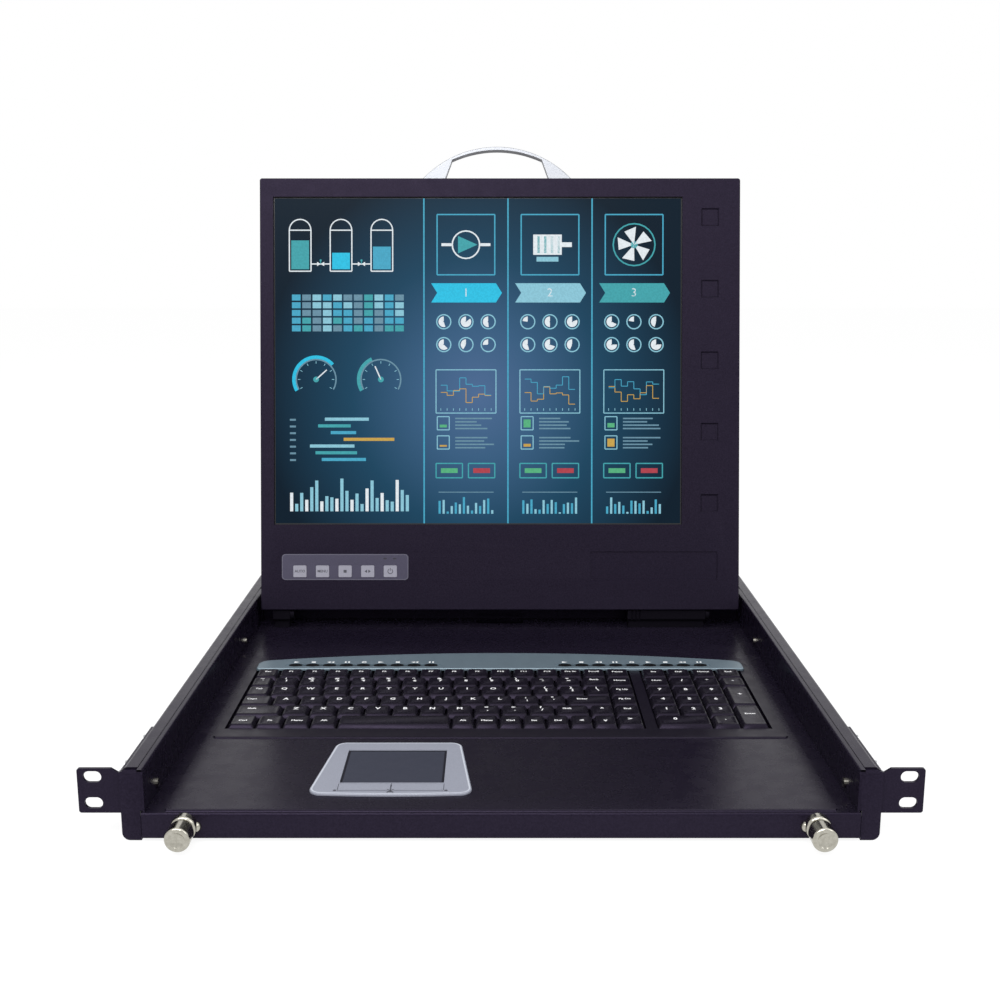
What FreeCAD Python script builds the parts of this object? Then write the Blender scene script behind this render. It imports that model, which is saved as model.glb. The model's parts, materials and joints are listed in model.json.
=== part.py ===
import FreeCAD, Part
import math
import os

# Rackmount LCD console drawer, one rack unit high: two fixed side rails and a rear housing
# carry a ball-bearing tray with a keyboard, a touchpad and a folding 17 inch display.
#
# Frame: +X right, +Y to the rear of the rack, +Z up. The origin is the centre of the four
# mounting slots, on the front face of the rack ears. Heights named *_H, and every height
# given to up(), are measured from the underside of the chassis. Sizes are in millimetres.

# ---- Driving dimensions: rack interface and chassis -----------------------------------
EAR_SPAN = 482.6              # over the two rack ears
EAR_WIDTH = 24.3              # from the outside of the bracket to the ear tip
EAR_HEIGHT = 27.0
EAR_SHEET = 2.0
SLOT_INSET = 8.75             # ear tip to slot centre
SLOT_SPACING_Z = 15.875
SLOT_LENGTH = 10.4
SLOT_WIDTH = 6.8
CHASSIS_HEIGHT = 43.2
SLOT_CENTRE_DROP = 13.0       # top of the ear to the slot pattern's centre
RAIL_SHEET = 1.5
RAIL_TOP_FLANGE = 8.0
RAIL_BOTTOM_FLANGE = 20.0
BRACKET_LEG_LENGTH = 70.0
FACE_INSET = 11.0             # bracket outside to the inner edge of the tray's wall flange
NOTCH_WIDTH = 7.8             # V notch between ear and face plate
NOTCH_DEPTH = 2.5

# ---- Driving dimensions: tray -----------------------------------------------------------
SLIDE_SPACE = 9.0             # rail to tray wall, filled by the telescopic slide
SLIDE_H = 23.5
SLIDE_HEIGHT = 20.0
TRAY_SHEET = 1.2
TRAY_LIP_SHEET = 1.5
LIP_FRONT_Y = -3.0
LIP_BOTTOM_H = 2.0
LIP_SIDE_GAP = 0.7            # lip end to wall flange
DECK_H = 18.2                 # top of the deck plate
DECK_SHEET = 1.0
DECK_SIDE_INSET = 10.3        # tray wall to deck plate edge
TRAY_WALL_H = 40.0
TRAY_BEHIND_AXIS = 29.0       # hinge axis to the tray's rear edge
CABLE_SPACE = 62.0            # tray to rear housing
HOUSING_DEPTH = 148.0
HOUSING_SHEET = 1.2
REAR_BRACKET_REACH = 40.0     # rear ears beyond the rails
REAR_ADJUST = 40.0            # rear bracket's adjustment

# ---- Driving dimensions: display --------------------------------------------------------
LCD_SIDE_GAP = 3.8            # display edge to tray wall
LCD_HEIGHT = 359.0
LCD_THICKNESS = 20.0
LCD_LEAN = 11.0               # degrees, leaning back as it stands
LID_OVERHANG = 3.3            # closed display past the front face of the ears
HINGE_DROP = 3.5              # hinge axis below the display's bottom edge
HINGE_SETBACK = 8.0           # hinge axis behind the display's front face
HINGE_RISE = 11.45            # hinge axis above the deck plate
ACTIVE_WIDTH = 337.9          # 17 inch 5:4 picture area
ACTIVE_HEIGHT = 270.3
ACTIVE_X = -18.4
ACTIVE_BOTTOM = 72.4          # above the display's bottom edge
BEZEL_SKIN = 2.4
BEZEL_RIM = 10.0              # depth of the bezel's side walls
SHELL_WALL = 1.5
HANDLE_HALF = 62.9            # half length over the handle's feet
HANDLE_RISE = 27.5
HANDLE_DEPTH = 9.0
HANDLE_X = -2.5

# ---- Driving dimensions: keyboard -------------------------------------------------------
KEY_PITCH = 18.8
KEY_ROW_PITCH = 19.5
KEY_FIELD_LEFT = -182.4
MAIN_BLOCK_KEYS = 13.88       # width of the main block in key pitches
NAV_COLUMN = 17.9
NUMPAD_SPACE = 8.8            # navigation column to numeric pad
NUMPAD_PITCH = 18.6
KEY_FIELD_FRONT_Y = 124.5
KEY_RISE = 2.8                # key tops above the deck plate
KEY_HEIGHT = 3.3
KEY_TRAVEL = 2.0
KEY_GAP = 0.7
KEY_TAPER = 1.5
KEY_LEAN = 0.5                # key top's shift to the rear
WELL_MARGIN = 1.2
STRIP_RISE = 2.7              # media strip above the deck plate
STRIP_REAR_RISE = 19.5        # sagitta of the strip's arched rear edge
STRIP_END_DEPTH = 18.0
TOUCHPAD_X = -65.2
TOUCHPAD_FRONT_Y = 19.3
TOUCHPAD_DEPTH = 78.3
TOUCHPAD_TOP_HALF = 40.0
TOUCHPAD_BOTTOM_HALF = 48.8
TOUCHPAD_PROUD = 1.5

# ---- Driving dimensions: lock knobs -----------------------------------------------------
KNOB_X = 180.5
KNOB_H = 10.0
KNOB_RADIUS = 7.3
KNOB_HEAD = 12.0
KNOB_NECK_RADIUS = 5.0
KNOB_NECK = 2.0
FERRULE_RADIUS = 7.5
FERRULE_LENGTH = 6.0
STUD_RADIUS = 2.0
RUNNING = 0.1                 # running clearance on a radius
SEAT_GAP = 0.3                # gap between pieces that rest beside each other

# ---- Places worked out from the driving dimensions ---------------------------------------
SLOT_CENTRE_H = CHASSIS_HEIGHT - SLOT_CENTRE_DROP
UNDERSIDE_Z = -SLOT_CENTRE_H
BRACKET_HALF = EAR_SPAN / 2 - EAR_WIDTH
RAIL_HALF = BRACKET_HALF - EAR_SHEET
RAIL_INNER_HALF = RAIL_HALF - RAIL_SHEET
TRAY_HALF = RAIL_INNER_HALF - SLIDE_SPACE
TRAY_INNER_HALF = TRAY_HALF - TRAY_SHEET
FACE_HALF = BRACKET_HALF - FACE_INSET
LCD_HALF = TRAY_INNER_HALF - LCD_SIDE_GAP
HINGE_Y = LCD_HEIGHT + HINGE_DROP - LID_OVERHANG
TRAY_REAR_Y = HINGE_Y + TRAY_BEHIND_AXIS
HOUSING_FRONT_Y = TRAY_REAR_Y + CABLE_SPACE
RAIL_REAR_Y = HOUSING_FRONT_Y + HOUSING_DEPTH
FLOOR_H = DECK_H - DECK_SHEET
FLOOR_UNDER_H = FLOOR_H - TRAY_SHEET
DECK_REAR_Y = HINGE_Y - 3.0
DECK_HALF = TRAY_INNER_HALF - DECK_SIDE_INSET
HINGE_H = DECK_H + HINGE_RISE
NAV_LEFT = KEY_FIELD_LEFT + MAIN_BLOCK_KEYS * KEY_PITCH
MAIN_BLOCK_RIGHT = NAV_LEFT + NAV_COLUMN
NUMPAD_LEFT = MAIN_BLOCK_RIGHT + NUMPAD_SPACE
NUMPAD_RIGHT = NUMPAD_LEFT + 4 * NUMPAD_PITCH
KEY_ROWS = 6
WELL_LEFT = KEY_FIELD_LEFT - WELL_MARGIN
WELL_RIGHT = NUMPAD_RIGHT + WELL_MARGIN
WELL_FRONT_Y = KEY_FIELD_FRONT_Y - WELL_MARGIN
STRIP_FRONT_Y = KEY_FIELD_FRONT_Y + KEY_ROWS * KEY_ROW_PITCH + 0.5
WELL_REAR_Y = STRIP_FRONT_Y + 4.0
STRIP_TOP_H = DECK_H + STRIP_RISE
KEY_TOP_H = DECK_H + KEY_RISE
KEY_BOTTOM_H = KEY_TOP_H - KEY_HEIGHT
KEY_BASE_H = KEY_BOTTOM_H - KEY_TRAVEL - SEAT_GAP
KEY_BASE_UNDER_H = KEY_BASE_H - TRAY_SHEET
SLIDE_FRONT_Y = 6.0
SLIDE_LENGTH = HOUSING_FRONT_Y - 6.0 - SLIDE_FRONT_Y

V = FreeCAD.Vector
os.makedirs("parts", exist_ok=True)


# ---- Helpers ------------------------------------------------------------------------------
def up(height):
    """Z of a height measured from the chassis underside."""
    return UNDERSIDE_Z + height


def box(x0, x1, y0, y1, z0, z1):
    return Part.makeBox(x1 - x0, y1 - y0, z1 - z0, V(x0, y0, z0))


def centred_box(x, y, half_x, half_y, z0, z1):
    return box(x - half_x, x + half_x, y - half_y, y + half_y, z0, z1)


def rounded_face(x0, x1, y0, y1, radius):
    """Rounded rectangle in the XY plane."""
    face = Part.Face(Part.makePolygon([V(x0, y0), V(x1, y0), V(x1, y1), V(x0, y1), V(x0, y0)]))
    return round_corners(face, radius)


def round_corners(face, radius):
    """Round every corner of a flat XY face by filleting its extrusion and taking the base."""
    slab = face.extrude(V(0, 0, 1))
    upright = [e for e in slab.Edges if abs(e.tangentAt(e.FirstParameter).z) > 0.99]
    slab = slab.makeFillet(radius, upright)
    return [f for f in slab.Faces if f.BoundBox.ZMax < 0.01][0]


def rounded_slab(x0, x1, y0, y1, z0, z1, radius):
    slab = rounded_face(x0, x1, y0, y1, radius).extrude(V(0, 0, z1 - z0))
    slab.translate(V(0, 0, z0))
    return slab


def stand(shape):
    """Turn a shape drawn in XY so that its drawing plane is XZ and its height runs to +Y."""
    turned = shape.copy()
    turned.rotate(V(0, 0, 0), V(1, 0, 0), 90)
    return turned.mirror(V(0, 0, 0), V(0, 1, 0))


def upright_slab(x0, x1, z0, z1, y0, y1, radius):
    """Plate standing in the XZ plane, from y0 to y1, with rounded corners."""
    return stand(rounded_slab(x0, x1, z0, z1, y0, y1, radius))


def cylinder_y(x, z, radius, y0, y1):
    return Part.makeCylinder(radius, y1 - y0, V(x, y0, z), V(0, 1, 0))


def cylinder_x(y, z, radius, x0, x1):
    return Part.makeCylinder(radius, x1 - x0, V(x0, y, z), V(1, 0, 0))


def cylinder_z(x, y, radius, z0, z1):
    return Part.makeCylinder(radius, z1 - z0, V(x, y, z0), V(0, 0, 1))


def prism(points, direction):
    """Extrude a closed polygon given by its corners."""
    return Part.Face(Part.makePolygon(points + points[:1])).extrude(direction)


def slot(x, y, length, width, z0, z1):
    """Slot-shaped cutter through Z, long along X."""
    half_x, half_y = length / 2, width / 2
    return rounded_slab(x - half_x, x + half_x, y - half_y, y + half_y, z0, z1, half_y - 0.001)


def mirror_x(shape):
    return shape.mirror(V(0, 0, 0), V(1, 0, 0))


def fuse(shapes):
    return shapes[0].multiFuse(shapes[1:]).removeSplitter()


def group(shapes):
    return Part.makeCompound(shapes)


def edges_along(shape, axis, test):
    """Straight edges along an axis whose middle point passes a test."""
    found = []
    for edge in shape.Edges:
        if edge.Curve.TypeId != "Part::GeomLine":
            continue
        along = edge.tangentAt(edge.FirstParameter)
        middle = edge.valueAt((edge.FirstParameter + edge.LastParameter) / 2)
        if abs(along.dot(axis)) > 0.999 and test(middle):
            found.append(edge)
    return found


def export(name, shape):
    shape.exportStep("parts/" + name + ".step")


def export_pair(name, right_shape):
    """One node for the right side and its mirror image for the left."""
    export(name + "_right", right_shape)
    export(name + "_left", mirror_x(right_shape))


# ---- Fixed chassis --------------------------------------------------------------------------
RAIL_SCREW_YS = (18.0, 58.0)
RAIL_SCREW_H = 37.0
REAR_SLOT_YS = (HOUSING_FRONT_Y + 40.0, RAIL_REAR_Y - 28.0)
REAR_SLOT_WIDTH = 5.2
SCREW_RADIUS = 2.0
SLIDE_SCREW_YS = (26.0, TRAY_REAR_Y - 86.2)


def side_rail():
    """Folded channel, open towards the tray, with its screw holes and adjustment slots."""
    profile = [
        (RAIL_HALF - RAIL_BOTTOM_FLANGE, 0), (RAIL_HALF, 0), (RAIL_HALF, CHASSIS_HEIGHT),
        (RAIL_HALF - RAIL_TOP_FLANGE, CHASSIS_HEIGHT),
        (RAIL_HALF - RAIL_TOP_FLANGE, CHASSIS_HEIGHT - RAIL_SHEET),
        (RAIL_INNER_HALF, CHASSIS_HEIGHT - RAIL_SHEET), (RAIL_INNER_HALF, RAIL_SHEET),
        (RAIL_HALF - RAIL_BOTTOM_FLANGE, RAIL_SHEET),
    ]
    rail = prism([V(x, EAR_SHEET, up(h)) for x, h in profile], V(0, RAIL_REAR_Y - EAR_SHEET, 0))
    outside = edges_along(rail, V(0, 1, 0), lambda p: p.x > RAIL_HALF - 0.01)
    rail = rail.makeFillet(RAIL_SHEET + 0.4, outside)
    cuts = [cylinder_x(y, up(RAIL_SCREW_H), SCREW_RADIUS + RUNNING, RAIL_INNER_HALF - 1, RAIL_HALF + 1)
            for y in RAIL_SCREW_YS]
    for y in REAR_SLOT_YS:
        half = REAR_ADJUST / 2
        cutter = slot(y, up(SLOT_CENTRE_H), 2 * half + REAR_SLOT_WIDTH, REAR_SLOT_WIDTH,
                      RAIL_INNER_HALF - 1, RAIL_HALF + 1)
        cuts.append(turn_to_side(cutter))
    return rail.cut(group(cuts))


def turn_to_side(shape):
    """Turn a shape drawn with X, Y and height so that these become Y, Z and +X."""
    turned = shape.copy()
    turned.rotate(V(0, 0, 0), V(1, 1, 1), 120)
    return turned


def ear_slots(x, y0, y1):
    return [stand(slot(x, z, SLOT_LENGTH, SLOT_WIDTH, y0, y1))
            for z in (-SLOT_SPACING_Z / 2, SLOT_SPACING_Z / 2)]


LOCK_TAB_H = (3.5, 13.2)
LOCK_TAB_INNER = KNOB_X - 8.0
NUT_RADIUS = STUD_RADIUS + 1.2
NUT_LENGTH = 1.5
EAR_BOTTOM_H = CHASSIS_HEIGHT - EAR_HEIGHT
FACE_CORNER = 4.5             # radius at the lower outer corners of ear bracket and flange
NOTCH_X = BRACKET_HALF + 1.0


def notch_cutter():
    """V notch that the ear and the tray's flange share at their upper edge."""
    top = CHASSIS_HEIGHT + 0.01
    notch = [V(NOTCH_X - NOTCH_WIDTH / 2, -5, up(top)), V(NOTCH_X + NOTCH_WIDTH / 2, -5, up(top)),
             V(NOTCH_X, -5, up(CHASSIS_HEIGHT - NOTCH_DEPTH))]
    return prism(notch, V(0, 10, 0))


def round_lower_corner(plate):
    """Round a front plate's corner at the bracket's outside and the chassis underside."""
    return plate.makeFillet(FACE_CORNER, edges_along(
        plate, V(0, 1, 0), lambda p: p.x > BRACKET_HALF - 0.1 and p.z < up(0.1)))


def ear_bracket():
    """Bent plate: rack ear, side leg, and a low plate with the tapped tab for the lock knob."""
    ear = upright_slab(RAIL_HALF, EAR_SPAN / 2, up(EAR_BOTTOM_H), up(CHASSIS_HEIGHT), 0, EAR_SHEET, 1.5)
    bend = box(RAIL_HALF, BRACKET_HALF, 0, EAR_SHEET, up(LOCK_TAB_H[0]), up(CHASSIS_HEIGHT))
    low = round_lower_corner(box(FACE_HALF, BRACKET_HALF, 0, EAR_SHEET, up(0), up(LOCK_TAB_H[1])))
    tab = upright_slab(LOCK_TAB_INNER, FACE_HALF + 3, up(LOCK_TAB_H[0]), up(LOCK_TAB_H[1]), 0, EAR_SHEET, 1.0)
    leg = box(RAIL_HALF, BRACKET_HALF, 0.5, BRACKET_LEG_LENGTH, up(5), up(CHASSIS_HEIGHT - 2))
    nut = cylinder_y(KNOB_X, up(KNOB_H), NUT_RADIUS, EAR_SHEET, EAR_SHEET + NUT_LENGTH)
    bracket = fuse([low, bend, ear, tab, leg, nut])
    cuts = [notch_cutter()]
    cuts.append(cylinder_y(KNOB_X, up(KNOB_H), STUD_RADIUS + RUNNING, -1, EAR_SHEET + NUT_LENGTH + 1))
    cuts += ear_slots(EAR_SPAN / 2 - SLOT_INSET, -1, EAR_SHEET + 1)
    cuts += [cylinder_x(y, up(RAIL_SCREW_H), SCREW_RADIUS + RUNNING, RAIL_HALF - 1, BRACKET_HALF + 1)
             for y in RAIL_SCREW_YS]
    return bracket.cut(group(cuts))


def side_screw(y, height, x_head, x_tip, head_radius, head_height):
    """Screw along X: its head outside, at larger x, with a plain shank to x_tip."""
    head = cylinder_x(y, up(height), head_radius, x_head, x_head + head_height)
    shank = cylinder_x(y, up(height), SCREW_RADIUS, x_tip, x_head + 0.5)
    return fuse([head, shank])


def chassis_screws():
    """Screws holding the ear brackets to the rails and the housing lid to its pan."""
    right = [side_screw(y, RAIL_SCREW_H, BRACKET_HALF, RAIL_INNER_HALF - 1.5, 3.4, 1.6)
             for y in RAIL_SCREW_YS]
    lid = []
    for x in (-LID_SCREW_X, LID_SCREW_X):
        for y in (HOUSING_FRONT_Y + 12, RAIL_REAR_Y - 14):
            lid.append(cylinder_z(x, y, 3.0, up(HOUSING_LID_H), up(HOUSING_LID_H + 1.2)))
    return group(right + [mirror_x(s) for s in right] + lid)


HOUSING_HALF = FACE_HALF
HOUSING_LID_H = 40.2
LID_SCREW_X = HOUSING_HALF - 9.0
HOUSING_VENT_PITCH = 10.0
HOUSING_VENT_COUNT = 9
CABLE_OPENING = (-60.0, -20.0)
VGA_X = 34.0
USB_XS = (-6.0, -26.0)
POWER_X = 70.0
PORT_H = 20.0


def housing_pan():
    """Open box behind the tray that ties the rails together and holds the interface board."""
    outer = box(-HOUSING_HALF, HOUSING_HALF, HOUSING_FRONT_Y, RAIL_REAR_Y,
                up(RAIL_SHEET), up(HOUSING_LID_H - HOUSING_SHEET))
    inner = box(-HOUSING_HALF + HOUSING_SHEET, HOUSING_HALF - HOUSING_SHEET, HOUSING_FRONT_Y + HOUSING_SHEET,
                RAIL_REAR_Y - HOUSING_SHEET, up(RAIL_SHEET + HOUSING_SHEET), up(HOUSING_LID_H))
    rear = (RAIL_REAR_Y - HOUSING_SHEET - 1, RAIL_REAR_Y + 1)
    cuts = [inner]
    cuts.append(upright_slab(VGA_X - 15.5, VGA_X + 15.5, up(PORT_H - 6), up(PORT_H + 6), rear[0], rear[1], 2))
    for x in USB_XS:
        cuts.append(upright_slab(x - 6.2, x + 6.2, up(PORT_H - 5.6), up(PORT_H + 5.6), rear[0], rear[1], 0.5))
    cuts.append(cylinder_y(POWER_X, up(PORT_H), 5.6, rear[0], rear[1]))
    cuts.append(upright_slab(CABLE_OPENING[0], CABLE_OPENING[1], up(12), up(30), HOUSING_FRONT_Y - 1,
                             HOUSING_FRONT_Y + HOUSING_SHEET + 1, 3))
    for i in range(HOUSING_VENT_COUNT):
        x = -HOUSING_HALF + 46.0 + HOUSING_VENT_PITCH * i
        cuts.append(box(x - 2, x + 2, rear[0], rear[1], up(12), up(32)))
    pan = outer.cut(group(cuts))
    posts = []
    for x in (-BOARD_HALF + 6, BOARD_HALF - 6):
        for y in (BOARD_FRONT_Y + 6, BOARD_REAR_Y - 6):
            posts.append(cylinder_z(x, y, 3.0, up(RAIL_SHEET + HOUSING_SHEET), up(BOARD_H)))
    return fuse([pan] + posts)


BOARD_HALF = 88.0
BOARD_FRONT_Y = HOUSING_FRONT_Y + 30.0
BOARD_REAR_Y = RAIL_REAR_Y - 8.0
BOARD_H = 10.0
BOARD_SHEET = 1.6


def interface_board():
    """Video and USB board with its larger components."""
    board = box(-BOARD_HALF, BOARD_HALF, BOARD_FRONT_Y, BOARD_REAR_Y, up(BOARD_H), up(BOARD_H + BOARD_SHEET))
    top = up(BOARD_H + BOARD_SHEET)
    parts = [centred_box(-50, BOARD_FRONT_Y + 40, 14, 14, top, top + 2),
             centred_box(10, BOARD_FRONT_Y + 35, 10, 10, top, top + 2),
             centred_box(POWER_X - 6, BOARD_FRONT_Y + 40, 7, 9, top, top + 8)]
    return fuse([board] + parts)


def rear_connectors():
    """Display, keyboard and power sockets on the housing's rear face."""
    front = RAIL_REAR_Y - 14.0
    back = RAIL_REAR_Y + 5.0
    wall = RAIL_REAR_Y - HOUSING_SHEET - 0.1
    floor = BOARD_H + BOARD_SHEET
    shell_y = RAIL_REAR_Y - 2
    shell = [V(VGA_X + x, shell_y, up(PORT_H + h)) for x, h in ((-8.6, 4), (8.6, 4), (7.2, -4), (-7.2, -4))]
    video = fuse([prism(shell, V(0, back - shell_y, 0)),
                  box(VGA_X - 15, VGA_X + 15, front, wall, up(floor), up(PORT_H + 5.6))])
    pieces = [video]
    for x in USB_XS:
        body = fuse([box(x - 6, x + 6, front, wall, up(floor), up(PORT_H + 5.4)),
                     box(x - 6, x + 6, wall - 1, RAIL_REAR_Y + 0.5, up(PORT_H - 5.4), up(PORT_H + 5.4))])
        mouth = box(x - 4.2, x + 4.2, RAIL_REAR_Y - 8, RAIL_REAR_Y + 1, up(PORT_H - 3.9), up(PORT_H + 3.9))
        tongue = box(x - 2.8, x + 2.8, RAIL_REAR_Y - 8, RAIL_REAR_Y - 0.5, up(PORT_H - 1.6), up(PORT_H + 1.6))
        pieces.append(fuse([body.cut(mouth), tongue]))
    jack = box(POWER_X - 4.5, POWER_X + 4.5, front, wall, up(floor), up(PORT_H + 5.2))
    barrel = cylinder_y(POWER_X, up(PORT_H), 5.2, RAIL_REAR_Y - 1.4, RAIL_REAR_Y + 2)
    bore = cylinder_y(POWER_X, up(PORT_H), 2.9, RAIL_REAR_Y - 9, RAIL_REAR_Y + 3)
    pin = cylinder_y(POWER_X, up(PORT_H), 1.0, RAIL_REAR_Y - 9.5, RAIL_REAR_Y + 1)
    pieces.append(fuse([fuse([jack, barrel]).cut(bore), pin]))
    return pieces


def housing_lid():
    """Slotted lid, folded down along its sides."""
    lid = box(-HOUSING_HALF, HOUSING_HALF, HOUSING_FRONT_Y, RAIL_REAR_Y,
              up(HOUSING_LID_H - HOUSING_SHEET), up(HOUSING_LID_H))
    side = HOUSING_HALF - HOUSING_SHEET - 0.1
    folds = []
    for sign in (-1, 1):
        edge = sorted((sign * side, sign * (side - HOUSING_SHEET)))
        folds.append(box(edge[0], edge[1], HOUSING_FRONT_Y + 4, RAIL_REAR_Y - 4,
                         up(HOUSING_LID_H - 8), up(HOUSING_LID_H - HOUSING_SHEET)))
    vents = []
    for row in range(2):
        for i in range(10):
            x = -90.0 + 20.0 * i
            y = HOUSING_FRONT_Y + 50 + 45 * row
            vents.append(centred_box(x, y, 7, 1.5, up(HOUSING_LID_H - 2), up(HOUSING_LID_H + 1)))
    return fuse([lid] + folds).cut(group(vents))


REAR_EAR_Y = RAIL_REAR_Y + REAR_BRACKET_REACH
REAR_LEG_FRONT_Y = REAR_SLOT_YS[0] - 16.0
REAR_LEG_GAP = 0.2


def rear_bracket():
    """Rear rack ear on a leg, clamped to the rail's slots by two bolts and their nuts."""
    inner = RAIL_HALF + REAR_LEG_GAP
    outer = inner + EAR_SHEET
    leg = box(inner, outer, REAR_LEG_FRONT_Y, REAR_EAR_Y, up(6), up(CHASSIS_HEIGHT - 4))
    leg = leg.makeFillet(4.0, edges_along(leg, V(1, 0, 0), lambda p: p.y < REAR_LEG_FRONT_Y + 1))
    ear = upright_slab(inner, EAR_SPAN / 2, up(EAR_BOTTOM_H), up(CHASSIS_HEIGHT), REAR_EAR_Y - EAR_SHEET,
                       REAR_EAR_Y, 1.5)
    bracket = fuse([leg, ear])
    hole_x = EAR_SPAN / 2 - SLOT_INSET
    holes = [cylinder_y(hole_x, z, SLOT_WIDTH / 2, REAR_EAR_Y - EAR_SHEET - 1, REAR_EAR_Y + 1)
             for z in (-SLOT_SPACING_Z / 2, SLOT_SPACING_Z / 2)]
    bracket = bracket.cut(group(holes))
    bolts = []
    z = up(SLOT_CENTRE_H)
    nut_face = RAIL_INNER_HALF - REAR_LEG_GAP
    for y in REAR_SLOT_YS:
        bolts.append(cylinder_x(y, z, 4.2, outer, outer + 2.4))
        bolts.append(cylinder_x(y, z, SCREW_RADIUS, RAIL_INNER_HALF - 4, outer + 1))
        bolts.append(cylinder_x(y, z, 4.0, nut_face - 3.2, nut_face))
    return fuse([bracket] + bolts)


# ---- Telescopic slides ------------------------------------------------------------------------
# Each slide is a nest of three channels with two rows of balls between each pair. Depths are
# measured inwards from the rail's inner face; heights from the slide's centre line.
CHANNEL = 1.0
BALL_RADIUS = 1.6
BALL_DEPTH = SLIDE_SPACE / 2 + 0.7    # ball rows from the rail's face
BALL_CLEARANCE = 0.05
GROOVE = 0.35                 # depth of the ball groove in each flange
OUTER_FLANGE = SLIDE_HEIGHT / 2 - CHANNEL
MIDDLE_OUTER = OUTER_FLANGE + 2 * GROOVE - 2 * BALL_RADIUS
MIDDLE_FLANGE = 1.4
MIDDLE_INNER = MIDDLE_OUTER - MIDDLE_FLANGE
INNER_OUTER = MIDDLE_INNER + 2 * GROOVE - 2 * BALL_RADIUS
OUTER_TIP = SLIDE_SPACE - 1.0
MIDDLE_WEB = (1.9, 2.9)
MIDDLE_TIP = SLIDE_SPACE - 1.6
INNER_TIP = 3.9
OUTER_BALL_H = OUTER_FLANGE + GROOVE - BALL_RADIUS
INNER_BALL_H = MIDDLE_INNER + GROOVE - BALL_RADIUS
CAGE_LENGTH = 80.0
CAGE_SHEET = 0.4
OUTER_CAGE = (1.25, SLIDE_SPACE - 2.1)    # depths of the cage's web and of its flange tips
OUTER_CAGE_Y = 130.0
INNER_CAGE = (3.15, SLIDE_SPACE - 1.4)
INNER_CAGE_Y = 150.0
BALLS_IN_ROW = 2


def slide_point(depth, rise, y):
    return V(RAIL_INNER_HALF - depth, y, up(SLIDE_H) + rise)


def channel(web_depth, tip_depth, half_height, flange, length):
    """Channel extruded along Y from its web at one depth to its flange tips at another."""
    web_side = web_depth[0] if tip_depth > web_depth[0] else web_depth[1]
    web_inner = web_depth[1] if tip_depth > web_depth[0] else web_depth[0]
    outline = [(web_side, -half_height), (tip_depth, -half_height), (tip_depth, -half_height + flange),
               (web_inner, -half_height + flange), (web_inner, half_height - flange),
               (tip_depth, half_height - flange), (tip_depth, half_height), (web_side, half_height)]
    return prism([slide_point(d, r, SLIDE_FRONT_Y) for d, r in outline], V(0, length, 0))


def ball_grooves(ball_height, length):
    centres = [slide_point(BALL_DEPTH, sign * ball_height, SLIDE_FRONT_Y) for sign in (-1, 1)]
    radius = BALL_RADIUS + BALL_CLEARANCE
    return [cylinder_y(c.x, c.z, radius, c.y - 1, c.y + length + 1) for c in centres]


def slide_outer():
    member = channel((0, CHANNEL), OUTER_TIP, SLIDE_HEIGHT / 2, CHANNEL, SLIDE_LENGTH)
    return member.cut(group(ball_grooves(OUTER_BALL_H, SLIDE_LENGTH)))


def slide_middle():
    member = channel(MIDDLE_WEB, MIDDLE_TIP, MIDDLE_OUTER, MIDDLE_FLANGE, SLIDE_LENGTH)
    grooves = ball_grooves(OUTER_BALL_H, SLIDE_LENGTH) + ball_grooves(INNER_BALL_H, SLIDE_LENGTH)
    return member.cut(group(grooves))


def slide_inner():
    length = TRAY_REAR_Y - SLIDE_FRONT_Y - 4
    member = channel((SLIDE_SPACE - CHANNEL, SLIDE_SPACE), INNER_TIP, INNER_OUTER, CHANNEL, length)
    cuts = ball_grooves(INNER_BALL_H, length)
    cuts += [cylinder_x(y, up(SLIDE_H), WALL_SCREW_RADIUS, TRAY_HALF - 1, TRAY_HALF + CHANNEL + 1)
             for y in SLIDE_SCREW_YS]
    return member.cut(group(cuts))


def ball_cage(depths, ball_height, y0):
    """Folded retainer strip with two rows of balls in its holes."""
    half = ball_height + CAGE_SHEET / 2
    web, tip = depths
    inside = web + CAGE_SHEET
    outline = [(web, -half), (tip, -half), (tip, -half + CAGE_SHEET), (inside, -half + CAGE_SHEET),
               (inside, half - CAGE_SHEET), (tip, half - CAGE_SHEET), (tip, half), (web, half)]
    strip = prism([slide_point(d, r, y0) for d, r in outline], V(0, CAGE_LENGTH, 0))
    balls = []
    holes = []
    for i in range(BALLS_IN_ROW):
        y = y0 + CAGE_LENGTH * (i + 0.5) / BALLS_IN_ROW
        for sign in (-1, 1):
            centre = slide_point(BALL_DEPTH, sign * ball_height, y)
            balls.append(Part.makeSphere(BALL_RADIUS, centre))
            half_hole = BALL_RADIUS + BALL_CLEARANCE
            holes.append(centred_box(centre.x, centre.y, half_hole, half_hole, centre.z - 1, centre.z + 1))
    return group([strip.cut(group(holes))] + balls)


def both_sides(shape):
    return group([shape, mirror_x(shape)])


# ---- Tray -------------------------------------------------------------------------------------
WALL_SCREW_RADIUS = 1.6
FLANGE_FRONT_Y = LIP_FRONT_Y + TRAY_LIP_SHEET
FLANGE_TOP_H = CHASSIS_HEIGHT - 1.2
COVER_HALF = LOCK_TAB_INNER - 4.5
COVER_FRONT_Y = 8.0
HINGE_BLOCK_RIGHT = (LCD_HALF - 92.5, LCD_HALF - 27.5)
HINGE_BLOCK_LEFT = (-LCD_HALF + 9.5, -LCD_HALF + 23.5)
HINGE_HALF = 5.0              # half side of the hinge housing's square section
PIN_RADIUS = 2.5
ARM_THICKNESS = 3.0


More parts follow.
